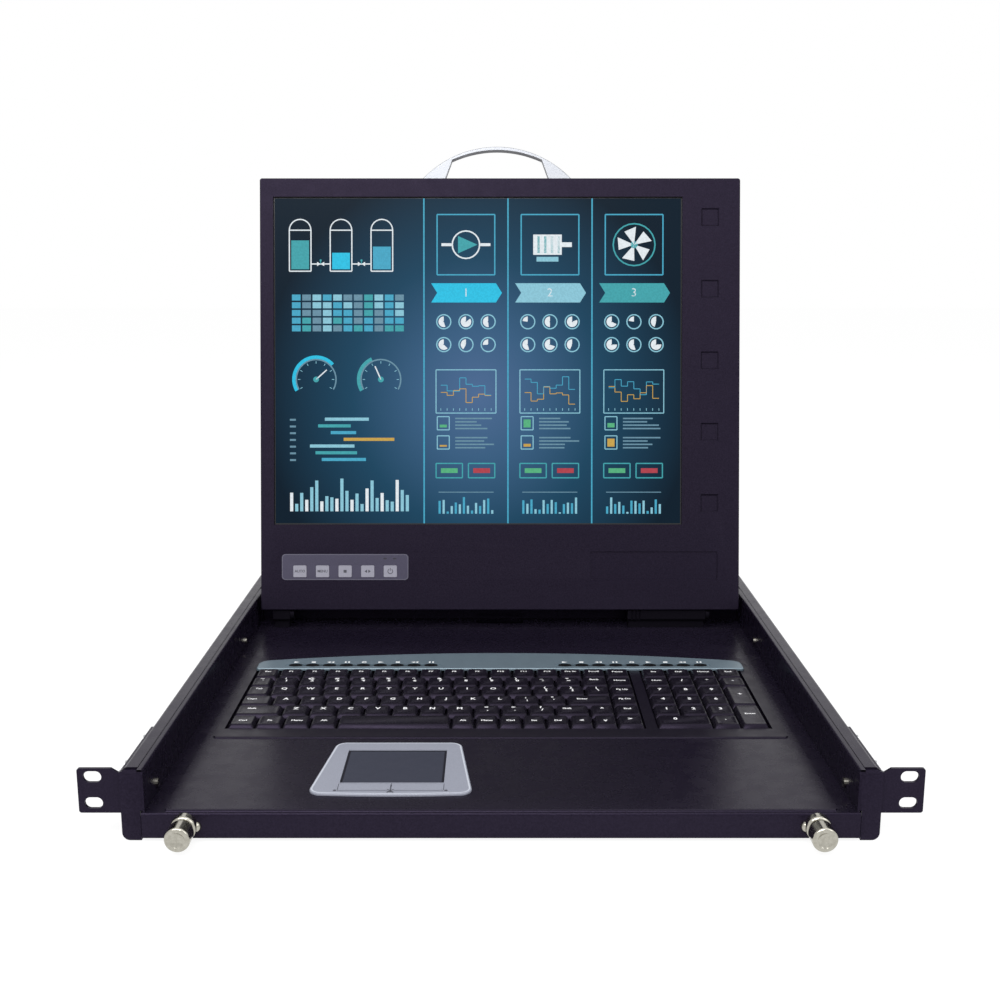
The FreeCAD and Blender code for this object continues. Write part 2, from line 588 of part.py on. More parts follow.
def wall_flange():
    """Front edge of a side wall, folded outwards over the end of the slide and the rail."""
    back = FLANGE_FRONT_Y + TRAY_SHEET
    plate = round_lower_corner(box(FACE_HALF, BRACKET_HALF, FLANGE_FRONT_Y, back, up(0), up(FLANGE_TOP_H)))
    fold = box(TRAY_INNER_HALF, FACE_HALF + 1, FLANGE_FRONT_Y, back, up(DECK_H), up(FLANGE_TOP_H))
    corner = edges_along(fold, V(0, 0, 1), lambda p: p.x < FACE_HALF and p.y < back - 0.1)
    fold = fold.makeFillet(TRAY_SHEET - 0.2, corner)
    return fuse([plate, fold]).cut(notch_cutter())


def tray_pan():
    """Folded tray: floor, flanged side walls, rear fold and the rolled front lip."""
    lip_half = FACE_HALF - LIP_SIDE_GAP
    lip_back = LIP_FRONT_Y + TRAY_LIP_SHEET
    floor = box(-TRAY_HALF, TRAY_HALF, lip_back - 0.5, TRAY_REAR_Y, up(FLOOR_UNDER_H), up(FLOOR_H))
    lip = box(-lip_half, lip_half, LIP_FRONT_Y, lip_back, up(LIP_BOTTOM_H), up(FLOOR_H))
    lip = lip.makeFillet(TRAY_LIP_SHEET - 0.2, edges_along(
        lip, V(1, 0, 0), lambda p: p.z > up(FLOOR_H) - 0.1 and p.y < LIP_FRONT_Y + 0.1))
    walls = []
    for sign in (-1, 1):
        side = sorted((sign * TRAY_HALF, sign * TRAY_INNER_HALF))
        walls.append(box(side[0], side[1], lip_back - 0.5, TRAY_REAR_Y, up(FLOOR_UNDER_H), up(TRAY_WALL_H)))
    rear = box(-TRAY_HALF, TRAY_HALF, TRAY_REAR_Y - TRAY_SHEET, TRAY_REAR_Y,
               up(FLOOR_UNDER_H), up(FLOOR_H + 10))
    tray = fuse([floor, lip, rear] + walls + [wall_flange(), mirror_x(wall_flange())])
    cuts = [well_cutter(), touchpad_well(0, FLOOR_UNDER_H - 1, DECK_H + 1)]
    cuts.append(rounded_slab(-20, 20, HINGE_Y + 12, HINGE_Y + 22, up(FLOOR_UNDER_H - 1), up(FLOOR_H + 1), 3))
    for x in (-KNOB_X, KNOB_X):
        cuts.append(cylinder_y(x, up(KNOB_H), FERRULE_SPIGOT + 0.05, LIP_FRONT_Y - 1, lip_back + 1))
    for y in SLIDE_SCREW_YS:
        cuts.append(cylinder_x(y, up(SLIDE_H), WALL_SCREW_RADIUS, -TRAY_HALF - 1, -TRAY_INNER_HALF + 1))
        cuts.append(cylinder_x(y, up(SLIDE_H), WALL_SCREW_RADIUS, TRAY_INNER_HALF - 1, TRAY_HALF + 1))
    return tray.cut(group(cuts))


def well_cutter():
    """Opening for the keys through the deck and the tray floor."""
    return box(WELL_LEFT, WELL_RIGHT, WELL_FRONT_Y, WELL_REAR_Y, up(KEY_BASE_UNDER_H), up(DECK_H + 2))


def touchpad_well(grow, low, high):
    """Space of the touchpad's sensor and buttons between two heights."""
    half = PAD_HALF + 3 + grow
    return box(TOUCHPAD_X - half, TOUCHPAD_X + half, PAD_BUTTON_Y[0] - 2.6 - grow, PAD_REAR_Y + 3 + grow,
               up(low), up(high))


def deck_plate():
    """Flat plate on the tray floor that frames the keyboard and the touchpad."""
    plate = box(-DECK_HALF, DECK_HALF, 1.0, DECK_REAR_Y, up(FLOOR_H), up(DECK_H))
    plate = plate.makeFillet(1.5, edges_along(plate, V(0, 0, 1), lambda p: True))
    return plate.cut(group([well_cutter(), touchpad_well(0, FLOOR_UNDER_H - 1, DECK_H + 1)]))


def bottom_cover():
    """Shallow pan under the tray that encloses the controller board."""
    top = FLOOR_UNDER_H
    outer = rounded_slab(-COVER_HALF, COVER_HALF, COVER_FRONT_Y, TRAY_REAR_Y - 6,
                         up(LIP_BOTTOM_H), up(top), 4)
    inner = rounded_slab(-COVER_HALF + TRAY_SHEET, COVER_HALF - TRAY_SHEET, COVER_FRONT_Y + TRAY_SHEET,
                         TRAY_REAR_Y - 6 - TRAY_SHEET, up(LIP_BOTTOM_H + TRAY_SHEET), up(top + 1), 3)
    return outer.cut(group([inner, keyboard_base_envelope(0.2)]))


def controller_board():
    """Keyboard and touchpad controller on posts from the bottom cover."""
    floor = LIP_BOTTOM_H + TRAY_SHEET
    board = box(-45, 45, TOUCHPAD_FRONT_Y + 20, TOUCHPAD_FRONT_Y + 80, up(floor + 3), up(floor + 4.6))
    parts = [centred_box(-15, TOUCHPAD_FRONT_Y + 45, 7, 7, up(floor + 4.6), up(floor + 6.2)),
             centred_box(20, TOUCHPAD_FRONT_Y + 60, 10, 4, up(floor + 4.6), up(floor + 7.5))]
    for x in (-40, 40):
        for y in (TOUCHPAD_FRONT_Y + 25, TOUCHPAD_FRONT_Y + 75):
            parts.append(cylinder_z(x, y, 2.5, up(floor), up(floor + 3)))
    return fuse([board] + parts)


def tray_fasteners():
    """Wall screws into the slides, and the knob collars pressed into the lip."""
    pieces = []
    for y in SLIDE_SCREW_YS:
        head = cylinder_x(y, up(SLIDE_H), 2.8, TRAY_INNER_HALF - 1.3, TRAY_INNER_HALF)
        shank = cylinder_x(y, up(SLIDE_H), WALL_SCREW_RADIUS, TRAY_INNER_HALF - 0.5, TRAY_HALF + CHANNEL)
        screw = fuse([head, shank])
        pieces += [screw, mirror_x(screw)]
    pieces += [ferrule(), mirror_x(ferrule())]
    return group(pieces)


# ---- Lock knobs ---------------------------------------------------------------------------------
FERRULE_SPIGOT = 6.2
FERRULE_SHOULDER = 1.9        # rounding of the collar's front edge
LUG_RADIUS = 3.4
LUG_OFFSET = 6.2
FERRULE_FRONT_Y = LIP_FRONT_Y - FERRULE_LENGTH
RING_RADIUS = KNOB_NECK_RADIUS + 0.2
RING_THICKNESS = 0.8
DISH_RADIUS = 8.0
DISH_DEPTH = 1.5
LOCK_TRAVEL = 3.5
RING_BACK_Y = FERRULE_FRONT_Y + 0.9 + LOCK_TRAVEL + RING_THICKNESS
STUD_TIP_Y = EAR_SHEET + 0.4


def ferrule():
    """Collar pressed into the lip, with a domed lug beside it, bored for ring and neck."""
    x, z = KNOB_X, up(KNOB_H)
    collar = cylinder_y(x, z, FERRULE_RADIUS, FERRULE_FRONT_Y, LIP_FRONT_Y)
    rim = [e for e in collar.Edges if e.BoundBox.YMax < FERRULE_FRONT_Y + 0.01 and e.Closed]
    collar = collar.makeFillet(FERRULE_SHOULDER, rim)
    spigot = cylinder_y(x, z, FERRULE_SPIGOT, LIP_FRONT_Y, LIP_FRONT_Y + TRAY_LIP_SHEET)
    lug = Part.makeSphere(LUG_RADIUS, V(x - LUG_OFFSET, LIP_FRONT_Y, z - 0.6))
    lug = lug.common(box(x - 20, x, LIP_FRONT_Y - 9, LIP_FRONT_Y, z - 9, z + 9))
    neck = cylinder_y(x, z, KNOB_NECK_RADIUS + RUNNING, FERRULE_FRONT_Y - 1, LIP_FRONT_Y)
    chamber = cylinder_y(x, z, RING_RADIUS + RUNNING, FERRULE_FRONT_Y + 0.8, LIP_FRONT_Y + 0.2)
    stud = cylinder_y(x, z, STUD_RADIUS + 0.3, FERRULE_FRONT_Y - 1, 0)
    return fuse([collar, spigot, lug]).cut(group([neck, chamber, stud]))


def lock_knob(x):
    """Thumbscrew: head with rounded rims and a dished face, narrower neck and plain stud."""
    front = FERRULE_FRONT_Y - KNOB_NECK - KNOB_HEAD
    head = cylinder_y(x, up(KNOB_H), KNOB_RADIUS, front, front + KNOB_HEAD)
    rims = [e for e in head.Edges if e.Closed and e.Curve.TypeId == "Part::GeomCircle"]
    head = head.makeFillet(1.4, rims)
    dish = Part.makeSphere(DISH_RADIUS, V(x, front - DISH_RADIUS + DISH_DEPTH, up(KNOB_H)))
    neck = cylinder_y(x, up(KNOB_H), KNOB_NECK_RADIUS, front + KNOB_HEAD - 1, FERRULE_FRONT_Y + 0.75)
    stud = cylinder_y(x, up(KNOB_H), STUD_RADIUS, FERRULE_FRONT_Y, STUD_TIP_Y)
    return fuse([head.cut(dish), neck, stud])


def lock_ring(x):
    """Retaining ring that rides the stud inside the ferrule."""
    ring = cylinder_y(x, up(KNOB_H), RING_RADIUS, RING_BACK_Y - RING_THICKNESS, RING_BACK_Y)
    return ring.cut(cylinder_y(x, up(KNOB_H), STUD_RADIUS + RUNNING / 2, RING_BACK_Y - 2, RING_BACK_Y + 1))


# ---- Keyboard -------------------------------------------------------------------------------------
FRAME_SHEET = 0.8
FRAME_HALF_X = DECK_HALF - 4.5
FRAME_FRONT_Y = KEY_FIELD_FRONT_Y - 15.0
BASE_MARGIN = 5.0


def keyboard_base_envelope(grow):
    margin = BASE_MARGIN + grow
    return box(WELL_LEFT - margin, WELL_RIGHT + margin, WELL_FRONT_Y - margin, WELL_REAR_Y + margin,
               up(KEY_BASE_UNDER_H - grow), up(FLOOR_UNDER_H))


def keyboard_base():
    """Membrane plate below the keys, rimmed to hang from the tray floor."""
    pocket = box(WELL_LEFT, WELL_RIGHT, WELL_FRONT_Y, WELL_REAR_Y,
                 up(KEY_BASE_H), up(FLOOR_UNDER_H + 1))
    return keyboard_base_envelope(0).cut(pocket)


def arched_outline(half_width, front_y, end_depth, rise, corner):
    """Face with straight front and ends and an arched rear edge."""
    rear_y = front_y + end_depth
    front_left = V(-half_width, front_y, 0)
    front_right = V(half_width, front_y, 0)
    rear_right = V(half_width, rear_y, 0)
    rear_left = V(-half_width, rear_y, 0)
    arch = Part.Arc(rear_right, V(0, rear_y + rise, 0), rear_left).toShape()
    edges = [Part.makeLine(front_left, front_right), Part.makeLine(front_right, rear_right), arch,
             Part.makeLine(rear_left, front_left)]
    slab = Part.Face(Part.Wire(edges)).extrude(V(0, 0, 1))
    rear_corners = edges_along(slab, V(0, 0, 1), lambda p: p.y > rear_y - 0.1)
    slab = slab.makeFillet(corner, rear_corners)
    front_corners = edges_along(slab, V(0, 0, 1), lambda p: p.y < front_y + 0.1)
    slab = slab.makeFillet(2.0, front_corners)
    return [f for f in slab.Faces if f.BoundBox.ZMax < 0.01][0]


def arched_slab(half_width, front_y, end_depth, rise, corner, z0, z1):
    slab = arched_outline(half_width, front_y, end_depth, rise, corner).extrude(V(0, 0, z1 - z0))
    slab.translate(V(0, 0, z0))
    return slab


STRIP_HALF = -WELL_LEFT + 0.6
STRIP_CORNER = 9.0
SPACER = (MAIN_BLOCK_RIGHT + 0.6, NUMPAD_LEFT - 0.6)


def keyboard_frame():
    """Raised moulding round the keys, its rear edge following the media strip."""
    depth = STRIP_FRONT_Y - FRAME_FRONT_Y + STRIP_END_DEPTH + 4
    frame = arched_slab(FRAME_HALF_X, FRAME_FRONT_Y, depth, STRIP_REAR_RISE + 1, 14,
                        up(DECK_H), up(DECK_H + FRAME_SHEET))
    well = box(WELL_LEFT, WELL_RIGHT, WELL_FRONT_Y, WELL_REAR_Y, up(DECK_H - 1), up(DECK_H + 2))
    spacer = box(SPACER[0], SPACER[1], WELL_FRONT_Y, WELL_REAR_Y,
                 up(KEY_BASE_H), up(DECK_H + FRAME_SHEET))
    return fuse([frame.cut(well), spacer])


MEDIA_PITCH = 12.85
MEDIA_COUNT = 9
MEDIA_LEFT_X = -STRIP_HALF + 80.2
MEDIA_RIGHT_X = STRIP_HALF - 83.6
MEDIA_Y = STRIP_FRONT_Y + 7.4
MEDIA_HALF = (4.4, 1.8)
MEDIA_GROOVE_HALF = (59.2, 2.6)
MEDIA_GROOVE_DEPTH = 0.7


def media_xs(middle):
    return [middle + MEDIA_PITCH * (i - (MEDIA_COUNT - 1) / 2) for i in range(MEDIA_COUNT)]


def media_strip():
    """Arched moulding behind the keys with two grooves of media buttons."""
    strip = arched_slab(STRIP_HALF, STRIP_FRONT_Y, STRIP_END_DEPTH, STRIP_REAR_RISE, STRIP_CORNER,
                        up(DECK_H + FRAME_SHEET), up(STRIP_TOP_H))
    top_edges = [e for e in strip.Edges if e.BoundBox.ZMin > up(STRIP_TOP_H) - 0.01]
    strip = strip.makeFillet(1.0, top_edges)
    cuts = []
    for middle in (MEDIA_LEFT_X, MEDIA_RIGHT_X):
        cuts.append(rounded_slab(middle - MEDIA_GROOVE_HALF[0], middle + MEDIA_GROOVE_HALF[0],
                                 MEDIA_Y - MEDIA_GROOVE_HALF[1], MEDIA_Y + MEDIA_GROOVE_HALF[1],
                                 up(STRIP_TOP_H - MEDIA_GROOVE_DEPTH), up(STRIP_TOP_H + 1), 2.5))
        for x in media_xs(middle):
            cuts.append(media_button_solid(x, 0.15, DECK_H + FRAME_SHEET - 1, STRIP_TOP_H + 1))
    return strip.cut(group(cuts))


def media_button_solid(x, grow, height0, height1):
    return centred_box(x, MEDIA_Y, MEDIA_HALF[0] + grow, MEDIA_HALF[1] + grow, up(height0), up(height1))


def media_buttons(middle):
    low = DECK_H + FRAME_SHEET + 0.6
    return group([media_button_solid(x, 0, low, STRIP_TOP_H - 0.1) for x in media_xs(middle)])


def key_cap(x0, x1, y0, y1):
    """Tapered cap: a wide skirt and a smaller top, leaning to the rear."""
    inset = KEY_GAP / 2
    skirt = level_rectangle(x0 + inset, x1 - inset, y0 + inset, y1 - inset, up(KEY_BOTTOM_H))
    inset += KEY_TAPER
    top = level_rectangle(x0 + inset, x1 - inset, y0 + inset + KEY_LEAN, y1 - inset + KEY_LEAN, up(KEY_TOP_H))
    return Part.makeLoft([skirt, top], True, True)


def level_rectangle(x0, x1, y0, y1, z):
    return Part.makePolygon([V(x0, y0, z), V(x1, y0, z), V(x1, y1, z), V(x0, y1, z), V(x0, y0, z)])


def row_y(row):
    front = KEY_FIELD_FRONT_Y + row * KEY_ROW_PITCH
    return front, front + KEY_ROW_PITCH


def key_row(row, widths, left=KEY_FIELD_LEFT):
    """Caps of one row; a negative width is a space without a key."""
    y0, y1 = row_y(row)
    caps = []
    x = left
    for width in widths:
        if width > 0:
            caps.append(key_cap(x, x + width, y0, y1))
        x += abs(width)
    return group(caps)


MAIN_WIDTH = NAV_LEFT - KEY_FIELD_LEFT
SPACE_WIDTH = 4.064 * KEY_PITCH
MODIFIER = 0.968 * KEY_PITCH
RIGHT_BOTTOM_KEYS = 7
FUNCTION_KEYS = 15


def main_rows():
    """Key widths of each row of the main block, front row first, without the right column."""
    bottom_rest = MAIN_WIDTH - 4 * MODIFIER - SPACE_WIDTH
    bottom = [MODIFIER] * 4 + [-SPACE_WIDTH] + [bottom_rest / RIGHT_BOTTOM_KEYS] * RIGHT_BOTTOM_KEYS
    shift_left = 1.707 * KEY_PITCH
    arrow = 0.904 * KEY_PITCH
    lower = [shift_left] + [KEY_PITCH] * 10 + [MAIN_WIDTH - shift_left - 10 * KEY_PITCH - arrow, arrow]
    caps_lock = 1.176 * KEY_PITCH
    home = [caps_lock] + [KEY_PITCH] * 11 + [MAIN_WIDTH - caps_lock - 11 * KEY_PITCH]
    tab = 0.931 * KEY_PITCH
    upper = [tab] + [KEY_PITCH] * 12 + [MAIN_WIDTH - tab - 12 * KEY_PITCH]
    accent = 0.84 * KEY_PITCH
    number = [accent] + [KEY_PITCH] * 12 + [MAIN_WIDTH - accent - 12 * KEY_PITCH]
    function = [MAIN_WIDTH / FUNCTION_KEYS] * FUNCTION_KEYS
    return [bottom, lower, home, upper, number, function]


def space_bar():
    y0, y1 = row_y(0)
    left = KEY_FIELD_LEFT + 4 * MODIFIER
    return key_cap(left, left + SPACE_WIDTH, y0, y1)


def navigation_keys():
    caps = []
    for row in range(KEY_ROWS):
        y0, y1 = row_y(row)
        caps.append(key_cap(NAV_LEFT, MAIN_BLOCK_RIGHT, y0, y1))
    return group(caps)


def numpad_keys():
    """Numeric pad: double-width 0 and two double-height keys on the right."""
    caps = []
    columns = [NUMPAD_LEFT + NUMPAD_PITCH * i for i in range(5)]
    for row in range(KEY_ROWS):
        y0, y1 = row_y(row)
        if row == 0:
            caps.append(key_cap(columns[0], columns[2], y0, y1))
            caps.append(key_cap(columns[2], columns[3], y0, y1))
            caps.append(key_cap(columns[3], columns[4], y0, y1 + KEY_ROW_PITCH))
            continue
        for i in range(3):
            caps.append(key_cap(columns[i], columns[i + 1], y0, y1))
        if row == 2:
            caps.append(key_cap(columns[3], columns[4], y0, y1 + KEY_ROW_PITCH))
        if row > 3:
            caps.append(key_cap(columns[3], columns[4], y0, y1))
    return group(caps)


# ---- Touchpad --------------------------------------------------------------------------------------
PAD_HALF = 31.2
PAD_FRONT_Y = TOUCHPAD_FRONT_Y + 14.9
PAD_REAR_Y = PAD_FRONT_Y + 50.6
PAD_BUTTON_Y = (TOUCHPAD_FRONT_Y + 4.3, TOUCHPAD_FRONT_Y + 13.3)
TOUCHPAD_BOW = 2.0
PAD_BUTTON_GAP = 0.35


def touchpad_outline():
    """Rounded trapezoid, wider at the front, with a bowed front edge."""
    rear_y = TOUCHPAD_FRONT_Y + TOUCHPAD_DEPTH
    front_left = V(TOUCHPAD_X - TOUCHPAD_BOTTOM_HALF, TOUCHPAD_FRONT_Y, 0)
    front_right = V(TOUCHPAD_X + TOUCHPAD_BOTTOM_HALF, TOUCHPAD_FRONT_Y, 0)
    rear_right = V(TOUCHPAD_X + TOUCHPAD_TOP_HALF, rear_y, 0)
    rear_left = V(TOUCHPAD_X - TOUCHPAD_TOP_HALF, rear_y, 0)
    bow = Part.Arc(front_left, V(TOUCHPAD_X, TOUCHPAD_FRONT_Y - TOUCHPAD_BOW, 0), front_right).toShape()
    edges = [bow, Part.makeLine(front_right, rear_right), Part.makeLine(rear_right, rear_left),
             Part.makeLine(rear_left, front_left)]
    return round_corners(Part.Face(Part.Wire(edges)), 7.5)


def pad_button(sign, grow):
    inner = 0.4 - grow
    span = sorted((TOUCHPAD_X + sign * inner, TOUCHPAD_X + sign * (PAD_HALF + grow)))
    return box(span[0], span[1], PAD_BUTTON_Y[0] - grow, PAD_BUTTON_Y[1] + grow,
               up(FLOOR_UNDER_H + 0.4 - 3 * grow), up(DECK_H + TOUCHPAD_PROUD + 3 * grow))


def touchpad_bezel():
    """Silver moulding round the pad, with pockets for the pad and its two buttons."""
    top = up(DECK_H + TOUCHPAD_PROUD)
    bezel = touchpad_outline().extrude(V(0, 0, TOUCHPAD_PROUD))
    bezel.translate(V(0, 0, up(DECK_H)))
    bezel = bezel.makeFillet(0.9, [e for e in bezel.Edges if e.BoundBox.ZMin > top - 0.01])
    tub = touchpad_well(-0.2, FLOOR_UNDER_H, DECK_H)
    window = box(TOUCHPAD_X - PAD_HALF, TOUCHPAD_X + PAD_HALF, PAD_FRONT_Y, PAD_REAR_Y,
                 up(FLOOR_UNDER_H + 1.6), up(DECK_H + 3))
    buttons = [pad_button(sign, PAD_BUTTON_GAP) for sign in (-1, 1)]
    return fuse([bezel, tub]).cut(group([window] + buttons))


def touchpad_pad():
    """Sensor plate, slightly sunk in its window."""
    return rounded_slab(TOUCHPAD_X - PAD_HALF + 0.2, TOUCHPAD_X + PAD_HALF - 0.2, PAD_FRONT_Y + 0.2,
                        PAD_REAR_Y - 0.2, up(FLOOR_UNDER_H + 1.6), up(DECK_H + TOUCHPAD_PROUD - 0.5), 0.8)


# ---- Display, drawn upright about the hinge axis, then leant back -----------------------------------
# Inside these functions x is as in the part, y is the depth behind the hinge axis and z the
# height above it.
def glass_y(depth):
    """Y of a depth measured back from the display's front face."""
    return depth - HINGE_SETBACK


def panel_z(height):
    """Z of a height measured from the display's bottom edge."""
    return height + HINGE_DROP


def lean(shape):
    leant = shape.copy()
    leant.rotate(V(0, 0, 0), V(1, 0, 0), -LCD_LEAN)
    leant.translate(V(0, HINGE_Y, up(HINGE_H)))
    return leant


def panel_plate(x0, x1, low, high, depth0, depth1, radius):
    return upright_slab(x0, x1, panel_z(low), panel_z(high), glass_y(depth0), glass_y(depth1), radius)


def panel_box(x0, x1, low, high, depth0, depth1):
    return box(x0, x1, glass_y(depth0), glass_y(depth1), panel_z(low), panel_z(high))


def active_edges():
    half = ACTIVE_WIDTH / 2
    return ACTIVE_X - half, ACTIVE_X + half, ACTIVE_BOTTOM, ACTIVE_BOTTOM + ACTIVE_HEIGHT


def hinge_notches():
    """Round clearance for the hinge housings and slots for the arms in the bottom wall."""
    radius = math.hypot(HINGE_HALF - 2, HINGE_HALF - 2) + 2 + 0.36
    notches = []
    for x0, x1 in (HINGE_BLOCK_LEFT, HINGE_BLOCK_RIGHT):
        notches.append(cylinder_x(0, 0, radius, x0 - 0.6, x1 + 0.6))
        notches.append(box(x1, x1 + ARM_THICKNESS + 1.0, -4.4, 8.4, -1, panel_z(SHELL_WALL + 1.2)))
    return notches


SQUARE_X = LCD_HALF - 24.9
SQUARE_HALF = 7.4
SQUARE_PITCH = 59.4
SQUARE_FIRST = 89.3
SQUARE_COUNT = 5
RECESS_DEPTH = 1.1
LABEL_RECESS = (LCD_HALF - 124.0, LCD_HALF - 18.0, 25.5, 48.9)
KEYPAD = (-LCD_HALF + 17.5, -LCD_HALF + 123.1, 25.1, 46.8)
OSD_FIRST_X = -LCD_HALF + 32.6
OSD_PITCH = 18.85
OSD_COUNT = 5
OSD_HALF = (5.5, 4.9)
OSD_HEIGHT = 32.4
KEYPAD_PROUD = 0.3


def square_recess(height):
    """Shallow square recess with sloping sides."""
    outlines = []
    for half, depth in ((SQUARE_HALF, -0.01), (SQUARE_HALF - RECESS_DEPTH, RECESS_DEPTH)):
        corners = [(-half, -half), (half, -half), (half, half), (-half, half), (-half, -half)]
        outlines.append(Part.makePolygon([V(SQUARE_X + a, glass_y(depth), panel_z(height) + b)
                                          for a, b in corners]))
    return Part.makeLoft(outlines, True, True)


def osd_xs():
    return [OSD_FIRST_X + OSD_PITCH * i for i in range(OSD_COUNT)]


def osd_button(x, grow, front, back):
    return panel_plate(x - OSD_HALF[0] - grow, x + OSD_HALF[0] + grow, OSD_HEIGHT - OSD_HALF[1] - grow,
                       OSD_HEIGHT + OSD_HALF[1] + grow, front, back, 1.0)


def lcd_bezel():
    """Front moulding: skin with the picture opening, recesses and shallow side walls."""
    x0, x1, low, high = active_edges()
    body = panel_plate(-LCD_HALF, LCD_HALF, 0, LCD_HEIGHT, 0, BEZEL_RIM, 2.0)
    front_rim = [e for e in body.Edges if e.BoundBox.YMax < glass_y(0) + 0.01]
    body = body.makeFillet(0.8, front_rim)
    wall = SHELL_WALL + 0.5
    cuts = [panel_box(-LCD_HALF + wall, LCD_HALF - wall, wall, LCD_HEIGHT - wall, BEZEL_SKIN, BEZEL_RIM + 1)]
    cuts.append(panel_box(x0 - 1, x1 + 1, low - 1, high + 1, -1, BEZEL_SKIN + 1))
    cuts += [square_recess(SQUARE_FIRST + SQUARE_PITCH * i) for i in range(SQUARE_COUNT)]
    cuts.append(panel_plate(LABEL_RECESS[0], LABEL_RECESS[1], LABEL_RECESS[2], LABEL_RECESS[3], -1, 1.0, 1.5))
    cuts.append(panel_plate(KEYPAD[0] - 0.1, KEYPAD[1] + 0.1, KEYPAD[2] - 0.1, KEYPAD[3] + 0.1,
                            -1, 1.0, 3.1))
    cuts += [osd_button(x, 0.15, -1, BEZEL_SKIN + 1) for x in osd_xs()]
    cuts += hinge_notches()
    return lean(body.cut(group(cuts)))


def osd_keypad():
    """Key panel set in the bezel, with an opening for each button."""
    plate = panel_plate(KEYPAD[0], KEYPAD[1], KEYPAD[2], KEYPAD[3], -KEYPAD_PROUD, 1.0, 3.0)
    return lean(plate.cut(group([osd_button(x, 0.15, -1, 2) for x in osd_xs()])))


def lcd_cell():
    x0, x1, low, high = active_edges()
    return lean(panel_box(x0 - 5, x1 + 5, low - 5, high + 5, BEZEL_SKIN + 0.05, BEZEL_SKIN + 2.0))


def backlight_module():
    """Lamp frame and light guide behind the cell."""
    x0, x1, low, high = active_edges()
    module = panel_box(x0 - 7, x1 + 7, low - 9, high + 9, BEZEL_SKIN + 2.0, 13.5)
    pocket = panel_box(x0 + 12, x1 - 12, low + 12, high - 12, 12.3, 14)
    return lean(module.cut(pocket))


BACK_SHEET = 1.5
BACK_FRONT = LCD_THICKNESS - BACK_SHEET
BACK_VENT_COUNT = 12
BACK_VENT_PITCH = 12.0


def lcd_back_cover():
    """Rear shell with its side walls, vents, ribs and stand-off posts."""
    body = panel_plate(-LCD_HALF, LCD_HALF, 0, LCD_HEIGHT, BEZEL_RIM, LCD_THICKNESS, 2.0)
    rear_rim = [e for e in body.Edges if e.BoundBox.YMin > glass_y(LCD_THICKNESS) - 0.01]
    body = body.makeFillet(1.2, rear_rim)
    wall = SHELL_WALL
    cuts = [panel_box(-LCD_HALF + wall, LCD_HALF - wall, wall, LCD_HEIGHT - wall, BEZEL_RIM - 1, BACK_FRONT)]
    for i in range(BACK_VENT_COUNT):
        x = BACK_VENT_PITCH * (i - (BACK_VENT_COUNT - 1) / 2)
        cuts.append(panel_box(x - 2, x + 2, LCD_HEIGHT - 56, LCD_HEIGHT - 32,
                              BACK_FRONT - 1, LCD_THICKNESS + 1))
    cuts += hinge_notches()
    posts = []
    x0, x1, low, high = active_edges()
    for x in (x0 + 4, x1 - 4):
        for height in (low, high):
            posts.append(cylinder_y(x, panel_z(height), 4, glass_y(13.5), glass_y(BACK_FRONT + 0.5)))
    for x in (DRIVER_BOARD[0] + 6, DRIVER_BOARD[1] - 6):
        posts.append(cylinder_y(x, panel_z(DRIVER_BOARD[2] + 18), 3, glass_y(DRIVER_DEPTH + BOARD_SHEET),
                                glass_y(BACK_FRONT + 0.5)))
    return lean(fuse([body.cut(group(cuts))] + posts))


DRIVER_BOARD = (-60.0, 70.0, 8.0, 56.0)
DRIVER_DEPTH = 9.0


def driver_board():
    """Display controller board below the module, on the back cover's posts."""
    board = panel_box(DRIVER_BOARD[0], DRIVER_BOARD[1], DRIVER_BOARD[2], DRIVER_BOARD[3],
                      DRIVER_DEPTH, DRIVER_DEPTH + BOARD_SHEET)
    chips = [panel_box(-30, -6, 20, 44, DRIVER_DEPTH - 2, DRIVER_DEPTH),
             panel_box(20, 44, 24, 40, DRIVER_DEPTH - 3, DRIVER_DEPTH)]
    return lean(fuse([board] + chips))


HANDLE_FOOT = 19.3            # width of each foot
HANDLE_SHOULDER = (37.5, 16.6)
HANDLE_TOP = 2.7              # thickness of the grip at the middle
HANDLE_FRONT = 5.5            # depth from the display's front face


def handle():
    """Arched grip that thickens into two splayed feet on the display's top edge."""
    base = panel_z(LCD_HEIGHT)
    y = glass_y(HANDLE_FRONT)
    inner_foot = HANDLE_HALF - HANDLE_FOOT
    shoulder_x, shoulder_z = HANDLE_SHOULDER
    outer = Part.Arc(V(-HANDLE_HALF, y, base), V(0, y, base + HANDLE_RISE), V(HANDLE_HALF, y, base)).toShape()
    inner = Part.Arc(V(shoulder_x, y, base + shoulder_z), V(0, y, base + HANDLE_RISE - HANDLE_TOP),
                     V(-shoulder_x, y, base + shoulder_z)).toShape()
    edges = [outer, Part.makeLine(V(HANDLE_HALF, y, base), V(inner_foot, y, base)),
             Part.makeLine(V(inner_foot, y, base), V(shoulder_x, y, base + shoulder_z)), inner,
             Part.makeLine(V(-shoulder_x, y, base + shoulder_z), V(-inner_foot, y, base)),
             Part.makeLine(V(-inner_foot, y, base), V(-HANDLE_HALF, y, base))]
    grip = Part.Face(Part.Wire(edges)).extrude(V(0, HANDLE_DEPTH, 0))
    arcs = [e for e in grip.Edges
            if e.Curve.TypeId == "Part::GeomCircle" and e.BoundBox.ZMax > base + HANDLE_RISE - 0.1]
    grip = grip.makeFillet(0.9, arcs)
    grip.translate(V(HANDLE_X, 0, 0))
    return lean(grip)


# ---- Hinges ------------------------------------------------------------------------------------------
PEDESTAL = (-2.4, 10.0)       # pedestal's front and rear from the hinge axis
HINGE_GROOVE = 1.4
HINGE_GROOVE_DEPTH = 0.9
HINGE_GROOVE_PITCH = 3.2


